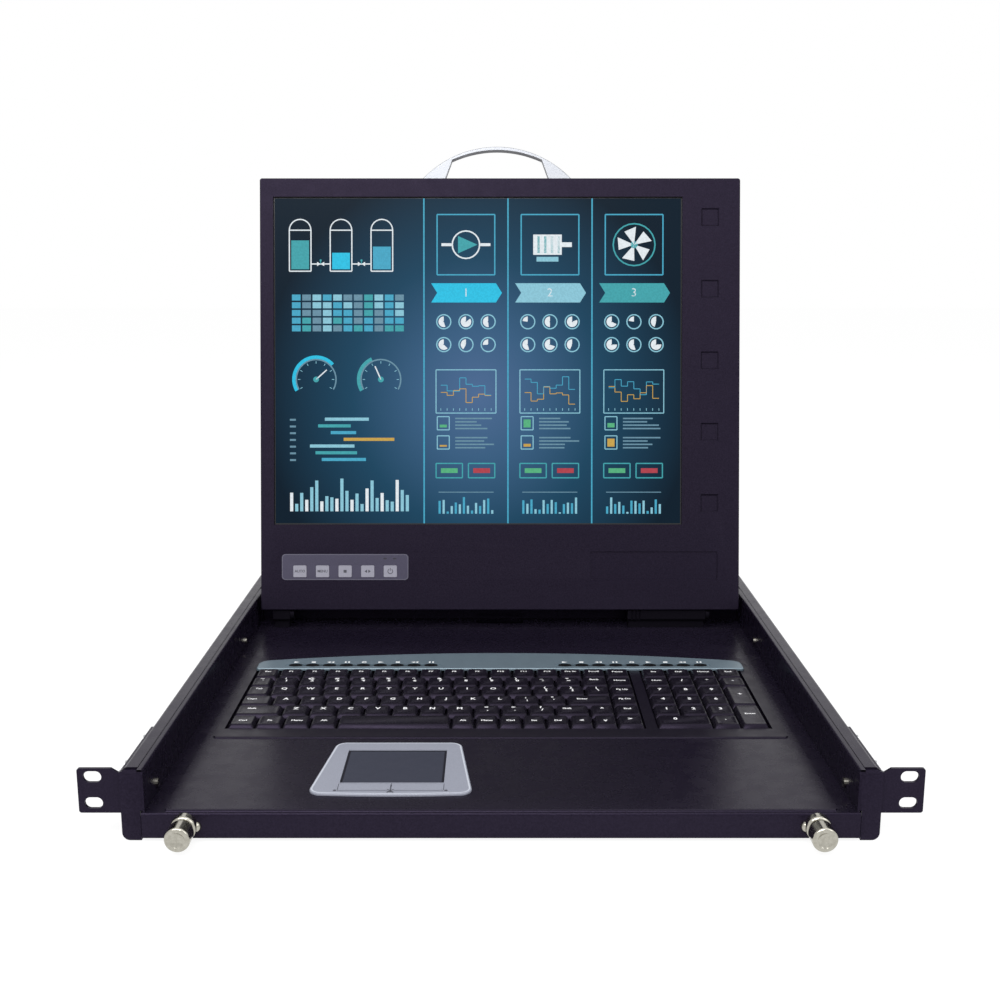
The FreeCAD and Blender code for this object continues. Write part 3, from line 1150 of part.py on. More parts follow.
def hinge_housing(x0, x1, ribs):
    """Friction hinge body on a pedestal that stands on the tray floor."""
    y, z = HINGE_Y, up(HINGE_H)
    barrel = box(x0, x1, y - HINGE_HALF, y + HINGE_HALF, z - HINGE_HALF, z + HINGE_HALF)
    barrel = barrel.makeFillet(2.0, edges_along(barrel, V(1, 0, 0), lambda p: True))
    pedestal = box(x0 + 1, x1 - 1, y + PEDESTAL[0], y + PEDESTAL[1], up(FLOOR_H), z)
    above_foot = box(x0, x1, y + HINGE_HALF - 0.01, y + PEDESTAL[1] + 1, up(FLOOR_H + 3), z + 1)
    pedestal = pedestal.cut(above_foot)
    shape = fuse([barrel, pedestal])
    cuts = [cylinder_x(y, z, PIN_RADIUS + 0.05, x0 - 1, x1 + 1)]
    outside = HINGE_HALF + 1
    inside = HINGE_HALF - HINGE_GROOVE_DEPTH
    for i in range(ribs):
        x = x0 + 3.0 + HINGE_GROOVE_PITCH * i
        x_end = x + HINGE_GROOVE
        ring = box(x, x_end, y - outside, y + outside, z - outside, z + outside)
        core = box(x, x_end, y - inside, y + inside, z - HINGE_HALF, z + inside)
        below = box(x, x_end, y - 4, y + 6, z - HINGE_HALF - 2, z - 1)
        cuts.append(ring.cut(core).cut(below))
    return shape.cut(group(cuts))


def hinge_arm(block):
    """Flat arm beside the housing with its eye round the pin, running up inside the display."""
    x0 = block[1] + 0.3
    x1 = x0 + ARM_THICKNESS
    eye = cylinder_x(0, 0, 5.0, x0, x1)
    blade = box(x0, x1, -4.0, 4.0, 0, panel_z(50))
    foot = box(x0 - 12, x1, 4.0 - 1.5, 4.0, panel_z(8), panel_z(50))
    arm = fuse([eye, blade, foot])
    return lean(arm.cut(cylinder_x(0, 0, PIN_RADIUS, x0 - 1, x1 + 1)))


def hinge_pin(block):
    inner = max(block[0] + 1, block[1] - 24)
    return lean(cylinder_x(0, 0, PIN_RADIUS, inner, block[1] + 0.3 + ARM_THICKNESS))


# ---- Build ---------------------------------------------------------------------------------------------
def build():
    export_pair("side_rail", side_rail())
    export_pair("ear_bracket", ear_bracket())
    export_pair("rear_bracket", rear_bracket())
    export("chassis_screws", chassis_screws())
    export("rear_housing_pan", housing_pan())
    export("rear_housing_lid", housing_lid())
    export("interface_board", group([interface_board()] + rear_connectors()))

    export_pair("slide_outer", slide_outer())
    export_pair("slide_middle", slide_middle())
    export_pair("slide_inner", slide_inner())
    export("ball_cages_outer", both_sides(ball_cage(OUTER_CAGE, OUTER_BALL_H, OUTER_CAGE_Y)))
    export("ball_cages_inner", both_sides(ball_cage(INNER_CAGE, INNER_BALL_H, INNER_CAGE_Y)))

    export("tray_pan", tray_pan())
    export("deck_plate", deck_plate())
    export("bottom_cover", bottom_cover())
    export("controller_board", controller_board())
    export("tray_fasteners", tray_fasteners())
    export_pair("lock_knob", lock_knob(KNOB_X))
    export_pair("lock_ring", lock_ring(KNOB_X))

    export("keyboard_base", keyboard_base())
    export("keyboard_frame", keyboard_frame())
    export("media_strip", media_strip())
    export("media_buttons_left", media_buttons(MEDIA_LEFT_X))
    export("media_buttons_right", media_buttons(MEDIA_RIGHT_X))
    names = ("bottom", "lower", "home", "upper", "number", "function")
    for row, (name, widths) in enumerate(zip(names, main_rows())):
        export("keys_" + name + "_row", key_row(row, widths))
    export("space_bar", space_bar())
    export("keys_navigation", navigation_keys())
    export("keys_numpad", numpad_keys())

    export("touchpad_bezel", touchpad_bezel())
    export("touchpad_pad", touchpad_pad())
    export("touchpad_button_left", pad_button(-1, 0))
    export("touchpad_button_right", pad_button(1, 0))

    export("hinge_housing_left", hinge_housing(HINGE_BLOCK_LEFT[0], HINGE_BLOCK_LEFT[1], 0))
    export("hinge_housing_right", hinge_housing(HINGE_BLOCK_RIGHT[0], HINGE_BLOCK_RIGHT[1], 3))
    blocks = (HINGE_BLOCK_LEFT, HINGE_BLOCK_RIGHT)
    export("hinge_arms", group([hinge_arm(b) for b in blocks] + [hinge_pin(b) for b in blocks]))
    export("lcd_bezel", lcd_bezel())
    export("lcd_cell", lcd_cell())
    export("backlight_module", backlight_module())
    export("lcd_back_cover", lcd_back_cover())
    export("lcd_driver_board", driver_board())
    export("osd_keypad", osd_keypad())
    for i, x in enumerate(osd_xs()):
        export("osd_button_" + str(i + 1), lean(osd_button(x, 0, -0.6, 2.0)))
    export("lift_handle", handle())


build()
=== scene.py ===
import json
import math

import bmesh
import bpy
from mathutils import Matrix, Vector


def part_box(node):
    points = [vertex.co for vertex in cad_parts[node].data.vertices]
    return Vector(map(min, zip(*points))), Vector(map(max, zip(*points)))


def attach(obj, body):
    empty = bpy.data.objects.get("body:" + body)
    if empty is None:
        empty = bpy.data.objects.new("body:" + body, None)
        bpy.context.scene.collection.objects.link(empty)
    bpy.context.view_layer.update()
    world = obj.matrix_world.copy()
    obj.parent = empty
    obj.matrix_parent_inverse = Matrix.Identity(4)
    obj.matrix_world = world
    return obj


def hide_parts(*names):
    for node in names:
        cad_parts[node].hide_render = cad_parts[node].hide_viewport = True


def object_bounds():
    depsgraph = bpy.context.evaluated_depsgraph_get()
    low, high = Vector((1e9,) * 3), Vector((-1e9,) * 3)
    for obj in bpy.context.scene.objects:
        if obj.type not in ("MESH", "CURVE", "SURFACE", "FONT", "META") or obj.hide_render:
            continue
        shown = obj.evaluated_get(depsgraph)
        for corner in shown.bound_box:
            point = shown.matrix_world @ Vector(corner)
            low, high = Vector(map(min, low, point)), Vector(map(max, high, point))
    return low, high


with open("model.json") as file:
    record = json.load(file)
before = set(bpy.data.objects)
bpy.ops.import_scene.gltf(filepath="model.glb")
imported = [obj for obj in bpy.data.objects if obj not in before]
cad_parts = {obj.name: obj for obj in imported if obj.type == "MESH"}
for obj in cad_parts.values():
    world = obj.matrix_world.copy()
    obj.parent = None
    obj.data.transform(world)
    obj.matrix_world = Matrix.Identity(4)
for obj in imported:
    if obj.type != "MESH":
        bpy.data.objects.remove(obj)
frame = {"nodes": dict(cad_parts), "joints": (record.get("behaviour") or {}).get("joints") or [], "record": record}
cad_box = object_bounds()
nodes = frame["nodes"]
MM = 0.001

# Looks for a one-unit rack drawer with a keyboard, a touchpad and a folding display.

# ---- Sizes in millimetres that the frame doesn't state ----
DISPLAY_LEAN = 11.0           # degrees, leaning back at rest
HINGE_DROP = 3.5              # hinge axis below the display's bottom edge
HINGE_SETBACK = 8.0           # hinge axis behind the display's front face
BEZEL_SKIN = 2.4
CELL_BORDER = 5.0             # cell beyond the picture on every side
ACTIVE_BOTTOM = 72.4          # picture above the display's bottom edge
ACTIVE_HEIGHT = 270.3
KEY_TAPER = 1.5               # cap's top inside its foot on every side
KEY_LEAN = 0.5                # cap's top behind the middle of its foot
KEY_DISH = 0.3
LIFT = 0.03                   # printed marks above the surface that carries them
SYMBOL_HEIGHT = 32.4          # middle of the key panel's symbols above the display's bottom edge
LAMP_HEIGHT = 43.0
BUTTON_PROUD = 0.6            # key panel's buttons in front of the display's face
FILM_PROUD = 0.3
FILM_OUTLINE = (-181.9, -76.5, 25.2, 46.7)
WIDE_CAP = 21.0               # caps wider than this carry their legend left of the middle
SHADE_RIM = 1.5                # ring of painted shade round a media button
SHADE_LINK = 1.0               # line of painted shade that joins two rings
# steps round each ring of painted shade
SHADE_STEPS = 28
SIGN_GAP = 5.2                # media sign behind its button
TOUCHPAD_LINE_HALF = 31.2
POST_OFFSET = 12.4            # video socket's posts from its middle
# Loops of a key cap from foot to dish: share of the taper, further inset, whether the height
# counts from the top, the height, and the corner's radius.
CAP_LOOPS = ((0, 0, False, 0, 0.8), (0, 0.15, False, 0.5, 0.9), (0.85, 0, True, -0.45, 1.5),
             (1, 0.15, True, -0.08, 1.6), (1, 0.65, True, 0, 1.5),
             (1, 1.6, True, -KEY_DISH * 0.5, 1.2), (1, 3.4, True, -KEY_DISH, 0.6))

# ---- Sizes in metres ----
SHEET = 1.2 * MM
EDGE_CLEARANCE = 0.4 * MM
FLANGE_WIDTH = 8.0 * MM       # end return of the front flange
REAR_WALL_START = 9.0 * MM    # added part of the rear wall above the deck
LARGEST_SCREW = 8.0 * MM      # larger lumps of the screw nodes are other fasteners
LEGEND_DEPTH = 0.05 * MM      # legends below the highest point of the dished caps
LEVEL_TOLERANCE = 0.02 * MM
WELD = 1e-6
FLOOR_GAP = 0.0005
FLOOR_HALF = 6.0

# ---- Angles in degrees, and what both sides share ----
SHEET_SMOOTH = CAP_SMOOTH = 40
LUMP_SMOOTH = 32
QUARTER_BEND = [math.radians(90 * k / 4) for k in range(5)]
SIDES = (("left", -1), ("right", 1))

# ---- Values of finish and light ----
BROAD_PATCHES = 14.0          # roughness patches, in grains of the finish
EDGE_POINTINESS = (0.53, 0.62)
FACING_DOWN = (-0.15, -0.45)  # height of the normal where the painted underside shade starts and is full
BACKDROP_REACH = (0.18, 0.19)
BACKDROP_STOPS = ((0.0, (0.074, 0.145, 0.29)), (0.28, (0.04, 0.11, 0.215)),
                  (0.58, (0.01, 0.058, 0.112)), (1.0, (0.0015, 0.011, 0.023)))
FLOOR_GLOW = 1.1
FLOOR_GLOW_SHARE = 0.82
WORLD_LIGHT = 0.55


# ---- Materials ----
def add_node(tree, kind, fixed=(), linked=()):
    """A shader node with fixed and linked inputs, both by the input's name or number."""
    node = tree.nodes.new("ShaderNode" + kind)
    for key, value in dict(fixed).items():
        node.inputs[key].default_value = value
    for key, source in dict(linked).items():
        tree.links.new(source, node.inputs[key])
    return node


def empty_tree(owner, kind):
    """The cleared node tree of a material or a world, and its output node."""
    owner.use_nodes = True
    tree = owner.node_tree
    tree.nodes.clear()
    return tree, add_node(tree, "Output" + kind)


def new_material(name):
    """A material with a plain Principled shader, its node tree and the shader."""
    material = bpy.data.materials.new(name)
    tree, output = empty_tree(material, "Material")
    shader = add_node(tree, "BsdfPrincipled")
    tree.links.new(shader.outputs["BSDF"], output.inputs["Surface"])
    return material, tree, shader


def noise(tree, scale, detail=2.0, stretch=(1, 1, 1)):
    """Noise in the part's own metres; scale is cells per metre."""
    place = add_node(tree, "TexCoord")
    mapping = add_node(tree, "Mapping", {"Scale": stretch}, {"Vector": place.outputs["Object"]})
    texture = add_node(tree, "TexNoise", {"Scale": scale, "Detail": detail},
                       {"Vector": mapping.outputs["Vector"]})
    return texture.outputs["Fac"]


def colour_ramp(tree, factor, stops):
    """Colour that runs through the stops, each a position and a colour."""
    ramp = add_node(tree, "ValToRGB", {}, {"Fac": factor})
    elements = ramp.color_ramp.elements
    for element, (position, colour) in zip(elements, (stops[0], stops[-1])):
        element.position = position
        element.color = (*colour, 1)
    for position, colour in stops[1:-1]:
        elements.new(position).color = (*colour, 1)
    return ramp.outputs["Color"]


def speckle(tree, grain, dark, light):
    """Two colours in the share that a noise gives, with soft limits."""
    return colour_ramp(tree, grain, ((0.35, dark), (0.65, light)))


def map_range(tree, value, source, target=(0.0, 1.0)):
    """A number carried from one range to another."""
    limits = {"From Min": source[0], "From Max": source[1], "To Min": target[0], "To Max": target[1]}
    return add_node(tree, "MapRange", limits, {"Value": value}).outputs["Result"]


def vary_roughness(tree, shader, factor, middle, swing):
    """Roughness that follows a noise, by the swing to each side of the middle."""
    rough = map_range(tree, factor, (0.3, 0.7), (middle - swing, middle + swing))
    tree.links.new(rough, shader.inputs["Roughness"])


def mix_colours(tree, factor, first, second):
    """From a linked colour to a fixed one, as the factor goes from 0 to 1."""
    mix = add_node(tree, "Mix")
    mix.data_type = "RGBA"
    tree.links.new(factor, mix.inputs["Factor"])
    tree.links.new(first, mix.inputs["A"])
    mix.inputs["B"].default_value = (*second, 1)
    return mix.outputs["Result"]


def add_bump(tree, shader, height, strength, distance_mm):
    """Small relief from a noise."""
    bump = add_node(tree, "Bump", {"Strength": strength, "Distance": distance_mm * MM},
                    {"Height": height})
    tree.links.new(bump.outputs["Normal"], shader.inputs["Normal"])


def coat(name, dark, light, roughness, grain, bump_mm, wear=0.25, specular=0.5, tint=(1, 1, 1)):
    """Painted or moulded finish: grain as speckle, bump and roughness, with faint edge wear."""
    material, tree, shader = new_material(name)
    fine = noise(tree, grain)
    edge = [min(1.0, c * 3 + 0.02) for c in light]
    sharp = add_node(tree, "NewGeometry").outputs["Pointiness"]
    worn = map_range(tree, sharp, EDGE_POINTINESS, (0.0, wear))
    colour = mix_colours(tree, worn, speckle(tree, fine, dark, light), edge)
    tree.links.new(colour, shader.inputs["Base Color"])
    vary_roughness(tree, shader, noise(tree, grain / BROAD_PATCHES, 3.0), roughness, 0.05)
    shader.inputs["Specular IOR Level"].default_value = specular
    shader.inputs["Specular Tint"].default_value = (*tint, 1)
    add_bump(tree, shader, fine, 0.5, bump_mm)
    return material


def metal(name, dark, light, roughness, scale, stretch=(1, 1, 1), bump_mm=0.01):
    """Plated metal with fine marks, drawn out along one way when stretch says so."""
    material, tree, shader = new_material(name)
    marks = noise(tree, scale, 3.0, stretch)
    tree.links.new(speckle(tree, marks, dark, light), shader.inputs["Base Color"])
    vary_roughness(tree, shader, marks, roughness, 0.06)
    shader.inputs["Metallic"].default_value = 1.0
    add_bump(tree, shader, marks, 0.3, bump_mm)
    return material


def darken_underside(material, shade):
    """Faces that look down get a darker base colour: painted shade on the underside."""
    tree = material.node_tree
    colour = tree.nodes["Principled BSDF"].inputs["Base Color"]
    normal = add_node(tree, "NewGeometry").outputs["True Normal"]
    parts = add_node(tree, "SeparateXYZ", {}, {"Vector": normal})
    facing = map_range(tree, parts.outputs["Z"], FACING_DOWN)
    tree.links.new(mix_colours(tree, facing, colour.links[0].from_socket, shade), colour)


def print_ink(name, colour, roughness=0.5):
    """Pad-printed ink, slightly uneven."""
    material, tree, shader = new_material(name)
    pale = [min(1.0, c * 1.15) for c in colour]
    tree.links.new(speckle(tree, noise(tree, 900.0), colour, pale), shader.inputs["Base Color"])
    shader.inputs["Roughness"].default_value = roughness
    return material


def screen_material(name, roughness):
    """Black panel that gives light; the caller links the light's colour."""
    material, tree, shader = new_material(name)
    shader.inputs["Base Color"].default_value = (0.001, 0.001, 0.0015, 1)
    shader.inputs["Roughness"].default_value = roughness
    shader.inputs["Specular IOR Level"].default_value = 0.06
    shader.inputs["Emission Strength"].default_value = 1.0
    return material, tree, shader.inputs["Emission Color"]


def lit(name, colour):
    """Light from the panel, faintly uneven."""
    material, tree, light = screen_material(name, 0.35)
    dim = [c * 0.9 for c in colour]
    tree.links.new(speckle(tree, noise(tree, 700.0, 0.0), dim, colour), light)
    return material


def picture_backdrop(name, low, high):
    """Navy at the edges and steel blue with a violet cast in the lower middle."""
    material, tree, light = screen_material(name, 0.3)
    reach_x, reach_z = BACKDROP_REACH
    x, z = (low.x + high.x) / 2, low.z * 0.6 + high.z * 0.4
    place = add_node(tree, "TexCoord")
    mapping = add_node(tree, "Mapping", {"Location": (-x / reach_x, 0, -z / reach_z),
                                         "Scale": (1 / reach_x, 0, 1 / reach_z)},
                       {"Vector": place.outputs["Object"]})
    distance = add_node(tree, "VectorMath", {}, {0: mapping.outputs["Vector"]})
    distance.operation = "LENGTH"
    tree.links.new(colour_ramp(tree, distance.outputs["Value"], BACKDROP_STOPS), light)
    return material


PURPLE_GLOSS = (0.76, 0.62, 1.0)   # tint of the black finishes' sheen
black_steel = coat("powder_coat", (0.0034, 0.0023, 0.0066), (0.0094, 0.007, 0.0152),
                   0.27, 1100, 0.07, 0.1, 0.15, PURPLE_GLOSS)
black_bezel = coat("bezel_paint", (0.0036, 0.0026, 0.0066), (0.0096, 0.0074, 0.015),
                   0.42, 1100, 0.08, 0.06, 0.18, PURPLE_GLOSS)
black_plastic = coat("keyboard_moulding", (0.0036, 0.0028, 0.006), (0.0082, 0.0066, 0.012),
                     0.33, 1400, 0.05, 0.06, 0.17, PURPLE_GLOSS)
key_plastic = coat("key_plastic", (0.004, 0.0032, 0.0062), (0.007, 0.0058, 0.01),
                   0.28, 2200, 0.012, 0.35, 0.14, PURPLE_GLOSS)
button_black = coat("media_button", (0.004, 0.004, 0.0046), (0.0062, 0.0062, 0.007),
                    0.6, 2200, 0.01, 0.0, 0.06)
strip_paint = coat("silver_blue_paint", (0.155, 0.21, 0.25), (0.185, 0.245, 0.29),
                   0.36, 1500, 0.006, 0.0)
strip_paint.node_tree.nodes["Principled BSDF"].inputs["Metallic"].default_value = 0.35
pad_moulding = coat("silver_grey_paint", (0.255, 0.268, 0.325), (0.3, 0.314, 0.375),
                    0.4, 1500, 0.006, 0.0)
pad_surface = coat("touchpad_film", (0.03, 0.033, 0.05), (0.038, 0.041, 0.06),
                   0.55, 1800, 0.02, 0.0, 0.2)
button_grey = coat("keypad_button", (0.25, 0.245, 0.3), (0.29, 0.285, 0.345), 0.45, 2200, 0.01, 0.05)
keypad_grey = coat("keypad_film", (0.05, 0.045, 0.075), (0.06, 0.055, 0.089),
                   0.5, 1800, 0.02, 0.05, 0.25)
hinge_black = coat("hinge_paint", (0.003, 0.0026, 0.0044), (0.0056, 0.0048, 0.0076),
                   0.5, 1800, 0.03, 0.05, 0.06, PURPLE_GLOSS)
board_green = coat("solder_mask", (0.01, 0.075, 0.03), (0.018, 0.11, 0.045), 0.35, 500, 0.02, 0.1)
socket_black = coat("socket_plastic", (0.012, 0.012, 0.013), (0.02, 0.02, 0.022),
                    0.4, 1800, 0.01, 0.05)
socket_blue = coat("socket_blue", (0.012, 0.045, 0.3), (0.018, 0.06, 0.36), 0.4, 1800, 0.01, 0.05)
# Near-black for screw recesses, contact holes, bores and the surrounds of the media buttons: painted shade.
painted_recess_shade = coat("painted_recess_shade", (0.004, 0.004, 0.005), (0.007, 0.007, 0.008),
                   0.6, 1500, 0.01, 0.0, 0.06)
zinc = metal("zinc_plate", (0.5, 0.51, 0.52), (0.66, 0.66, 0.65), 0.36, 260, (1, 0.08, 1), 0.01)
nickel = metal("bright_nickel", (0.38, 0.365, 0.315), (0.46, 0.445, 0.39), 0.17, 500, (1, 1, 1), 0.001)
handle_metal = metal("handle_plate", (0.3, 0.31, 0.335), (0.37, 0.38, 0.405),
                     0.46, 300, (0.1, 1, 1), 0.006)
# The handle's underside gets painted shade: a darker base colour where its faces look down.
darken_underside(handle_metal, (0.09, 0.09, 0.105))
legend_white = print_ink("legend_ink", (0.86, 0.86, 0.9))
icon_white = print_ink("icon_ink", (0.86, 0.9, 0.92))
symbol_dark = print_ink("symbol_ink", (0.05, 0.05, 0.065))
film_edge = coat("film_edge", (0.105, 0.1, 0.14), (0.125, 0.12, 0.16), 0.4, 1800, 0.01, 0.0, 0.25)
# Pale band on the touchpad bezel's rim: a painted highlight.
rim_highlight = coat("painted_rim_highlight", (0.5, 0.53, 0.6), (0.58, 0.61, 0.68), 0.3, 2500, 0.004, 0.0)
# Darker band along the touchpad's edge by the bezel: painted shade.
pad_edge_shade = coat("pad_edge_shade", (0.012, 0.012, 0.018), (0.017, 0.017, 0.024), 0.6, 1800, 0.01, 0.0, 0.1)
lens_dark = print_ink("lamp_lens", (0.022, 0.02, 0.034), 0.25)
glass = print_ink("cell_border", (0.003, 0.003, 0.004), 0.22)

SLOT_MATERIALS = {
    "black_powder_coat": black_steel, "black_moulding": black_plastic, "key_plastic": key_plastic,
    "silver_blue_moulding": strip_paint, "silver_grey_moulding": pad_moulding,
    "touchpad_surface": pad_surface, "button_grey": button_grey, "keypad_grey": keypad_grey,
    "zinc_steel": zinc, "nickel": nickel, "handle_chrome": handle_metal, "display_glass": glass,
    "circuit_board": board_green, "hinge_black": hinge_black,
}
NODE_MATERIALS = {
    "lcd_bezel": black_bezel, "media_buttons_left": button_black, "media_buttons_right": button_black,
    "touchpad_button_left": pad_moulding, "touchpad_button_right": pad_moulding,
    "hinge_arms": hinge_black,
}


def give_material(thing, material):
    """Put a material in every slot of a CAD node."""
    if not thing.material_slots:
        thing.data.materials.append(material)
    for one in thing.material_slots:
        one.material = material


node_slot = {row["node"]: row["material_slot"] for row in frame["record"]["subparts"]}
for node, slot in node_slot.items():
    give_material(nodes[node], NODE_MATERIALS.get(node, SLOT_MATERIALS[slot]))
body_of = {n: body for body, names in frame["record"]["behaviour"]["bodies"].items() for n in names}


# ---- Helpers for pieces ----
def link_mesh(name, mesh, materials):
    """A new object in the scene with a mesh and its materials."""
    thing = bpy.data.objects.new(name, mesh)
    for material in materials:
        mesh.materials.append(material)
    bpy.context.scene.collection.objects.link(thing)
    return thing


def smooth_by_angle(thing, degrees):
    """Shade smoothly, but keep edges sharper than an angle."""
    thing.data.polygons.foreach_set("use_smooth", [True] * len(thing.data.polygons))
    thing.data.set_sharp_from_angle(angle=math.radians(degrees))


def mesh_piece(name, built, material, body, smooth=None):
    """A piece from a bmesh, riding on a body, smoothed when an angle is given."""
    mesh = bpy.data.meshes.new(name)
    built.to_mesh(mesh)
    built.free()
    thing = link_mesh(name, mesh, [material])
    if smooth:
        smooth_by_angle(thing, smooth)
    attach(thing, body)
    return thing


def loft(built, rings):
    """Faces between rings of vertices."""
    for one, other in zip(rings, rings[1:]):
        for i in range(len(one)):
            j = (i + 1) % len(one)
            built.faces.new((one[i], one[j], other[j], other[i]))


def extruded(name, profile, start, end, across, material=black_steel, body="tray"):
    """A bent sheet: closed profile points (a, z) carried from start to end along x or y."""
    built = bmesh.new()
    rings = [[built.verts.new((a, station, z) if across == "y" else (station, a, z))
              for a, z in profile] for station in (start, end)]
    loft(built, rings)
    built.faces.new(rings[0])
    built.faces.new(rings[1][::-1])
    bmesh.ops.recalc_face_normals(built, faces=built.faces)
    mesh_piece(name, built, material, body, SHEET_SMOOTH)


def islands(node):
    """Box corners and faces, as lists of points, of each separate lump of a CAD node."""
    whole = bmesh.new()
    whole.from_mesh(nodes[node].data)
    bmesh.ops.remove_doubles(whole, verts=whole.verts, dist=WELD)
    whole.verts.ensure_lookup_table()
    seen = set()
    found = []
    for start in whole.verts:
        if start.index in seen:
            continue
        stack, lump = [start], set()
        while stack:
            vertex = stack.pop()
            if vertex.index in lump:
                continue
            lump.add(vertex.index)
            stack += [e.other_vert(vertex) for e in vertex.link_edges]
        seen |= lump
        points = [whole.verts[i].co for i in lump]
        low, high = (Vector([pick(p[k] for p in points) for k in range(3)]) for pick in (min, max))
        faces = [f for f in whole.faces if f.verts[0].index in lump]
        found.append((low, high, [[v.co.copy() for v in f.verts] for f in faces]))
    whole.free()
    return found


def lump_boxes(node, order):
    """Low and high corners of a CAD node's lumps, sorted by a key of the low corner."""
    return sorted(((low, high) for low, high, _ in islands(node)), key=lambda box: order(box[0]))


def lump_piece(name, faces, material, body):
    """A piece with the faces of one lump, smooth where its faces nearly meet flat."""
    built = bmesh.new()
    for face in faces:
        built.faces.new([built.verts.new(point) for point in face])
    bmesh.ops.remove_doubles(built, verts=built.verts, dist=WELD)
    bmesh.ops.recalc_face_normals(built, faces=built.faces)
    return mesh_piece(name, built, material, body, LUMP_SMOOTH)


def around(u, v, radius, angle):
    """The point at a radius and an angle in radians from (u, v)."""
    return u + radius * math.cos(angle), v + radius * math.sin(angle)


class Flat:
    """Collects flat shapes in one plane, each in one of the piece's materials."""

    def __init__(self, place):
        self.place = place
        self.points, self.faces, self.inks = [], [], []

    def polygon(self, corners, ink=0):
        start = len(self.points)
        self.points += [self.place(u, v) for u, v in corners]
        self.faces.append(list(range(start, start + len(corners))))
        self.inks.append(ink)

    def rect(self, u0, v0, u1, v1, ink=0):
        self.polygon([(u0, v0), (u1, v0), (u1, v1), (u0, v1)], ink)

    def ellipse(self, u, v, half_u, half_v, ink=0, sides=20):
        turns = [2 * math.pi * i / sides for i in range(sides)]
        self.polygon([(u + half_u * math.cos(a), v + half_v * math.sin(a)) for a in turns], ink)

    def disc(self, u, v, radius, ink=0, sides=20):
        self.ellipse(u, v, radius, radius, ink, sides)

    def arc(self, u, v, inner, outer, start, end, ink=0, steps=24):
        """Ring sector between two angles in degrees."""
        for i in range(steps):
            a, b = (math.radians(start + (end - start) * k / steps) for k in (i, i + 1))
            self.polygon([around(u, v, inner, a), around(u, v, outer, a), around(u, v, outer, b),
                          around(u, v, inner, b)], ink)

    def line(self, corners, width, ink=0):
        """A stroke along the corners, one strip for each stretch."""
        for (u0, v0), (u1, v1) in zip(corners, corners[1:]):
            length = math.hypot(u1 - u0, v1 - v0)
            du, dv = -(v1 - v0) / length * width / 2, (u1 - u0) / length * width / 2
            self.polygon([(u0 - du, v0 - dv), (u1 - du, v1 - dv), (u1 + du, v1 + dv),
                          (u0 + du, v0 + dv)], ink)

    def frame(self, u0, v0, u1, v1, width, ink=0):
        self.line([(u0, v0), (u1, v0), (u1, v1), (u0, v1), (u0, v0)], width, ink)

    def text(self, words, u, v, size, ink=0, weight=0.0):
        """Words centred on a point; weight thickens the strokes."""
        curve = bpy.data.curves.new("words", "FONT")
        curve.body = words
        curve.size = size
        curve.offset = weight
        curve.resolution_u = 2
        curve.align_x = curve.align_y = "CENTER"
        holder = bpy.data.objects.new("words", curve)
        mesh = bpy.data.meshes.new_from_object(holder)
        start = len(self.points)
        self.points += [self.place(u + p.co.x, v + p.co.y) for p in mesh.vertices]
        self.faces += [[start + i for i in f.vertices] for f in mesh.polygons]
        self.inks += [ink] * len(mesh.polygons)
        bpy.data.objects.remove(holder)
        bpy.data.curves.remove(curve)
        bpy.data.meshes.remove(mesh)

    def build(self, name, materials, body, slot):
        """The collected shapes as one piece that rides on a body."""
        mesh = bpy.data.meshes.new(name)
        mesh.from_pydata(self.points, [], self.faces)
        thing = link_mesh(name, mesh, materials)
        mesh.polygons.foreach_set("material_index", self.inks)
        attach(thing, body)
        return thing


def plan_centre(low, high):
    """Centre of a box as seen from above, in mm."""
    return (low.x + high.x) / 2 / MM, (low.y + high.y) / 2 / MM


def outline(node):
    """Convex outline, in mm, of the highest level of a CAD node, running anticlockwise."""
    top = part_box(node)[1].z
    points = sorted({(round(v.co.x / MM, 3), round(v.co.y / MM, 3)) for v in nodes[node].data.vertices
                     if v.co.z > top - LEVEL_TOLERANCE})
    halves = []
    for row in (points, points[::-1]):
        chain = []
        for p in row:
            while len(chain) > 1 and ((chain[-1][0] - chain[-2][0]) * (p[1] - chain[-2][1])
                                      - (chain[-1][1] - chain[-2][1]) * (p[0] - chain[-2][0])) <= 0:
                chain.pop()
            chain.append(p)
        halves += chain[:-1]
    return halves


def inset(loop, distance):
    """The loop's corners moved inwards along their bisectors."""
    moved = []
    for before, here, after in zip(loop[-1:] + loop[:-1], loop, loop[1:] + loop[:1]):
        normals = []
        for a, b in ((before, here), (here, after)):
            run = Vector((b[0] - a[0], b[1] - a[1])).normalized()
            normals.append(Vector((-run.y, run.x)))
        way = (normals[0] + normals[1]).normalized()
        moved.append((here[0] + way.x * distance, here[1] + way.y * distance))
    return moved


def band(sheet, outer, inner):
    """Flat strip between two loops with the same number of corners."""
    for a, b, c, d in zip(outer, outer[1:] + outer[:1], inner[1:] + inner[:1], inner):
        sheet.polygon([a, b, c, d])


def level_plane(height):
    """Places (x, y) in millimetres on a horizontal plane at a height in metres."""
    return lambda u, v: Vector((u * MM, v * MM, height))


# ---- Display frame ----
hinge = next(j for j in frame["joints"] if j["name"] == "display_hinge")
hinge_point = Vector(hinge["pos_m"])
lean_turn = Matrix.Rotation(math.radians(-DISPLAY_LEAN), 4, "X")


def panel_point(x, height, depth):
    """A point of the leaning display: x, height above its bottom edge, depth behind its face."""
    local = Vector((x, depth - HINGE_SETBACK, height + HINGE_DROP)) * MM
    return hinge_point + lean_turn @ local


def panel_plane(depth):
    """Places (x, height) in millimetres on a plane at a depth behind the display's face."""
    return lambda u, v: panel_point(u, v, depth)


cell_low, cell_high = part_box("lcd_cell")
ACTIVE_LEFT = cell_low.x / MM + CELL_BORDER
ACTIVE_RIGHT = cell_high.x / MM - CELL_BORDER
ACTIVE_TOP = ACTIVE_BOTTOM + ACTIVE_HEIGHT


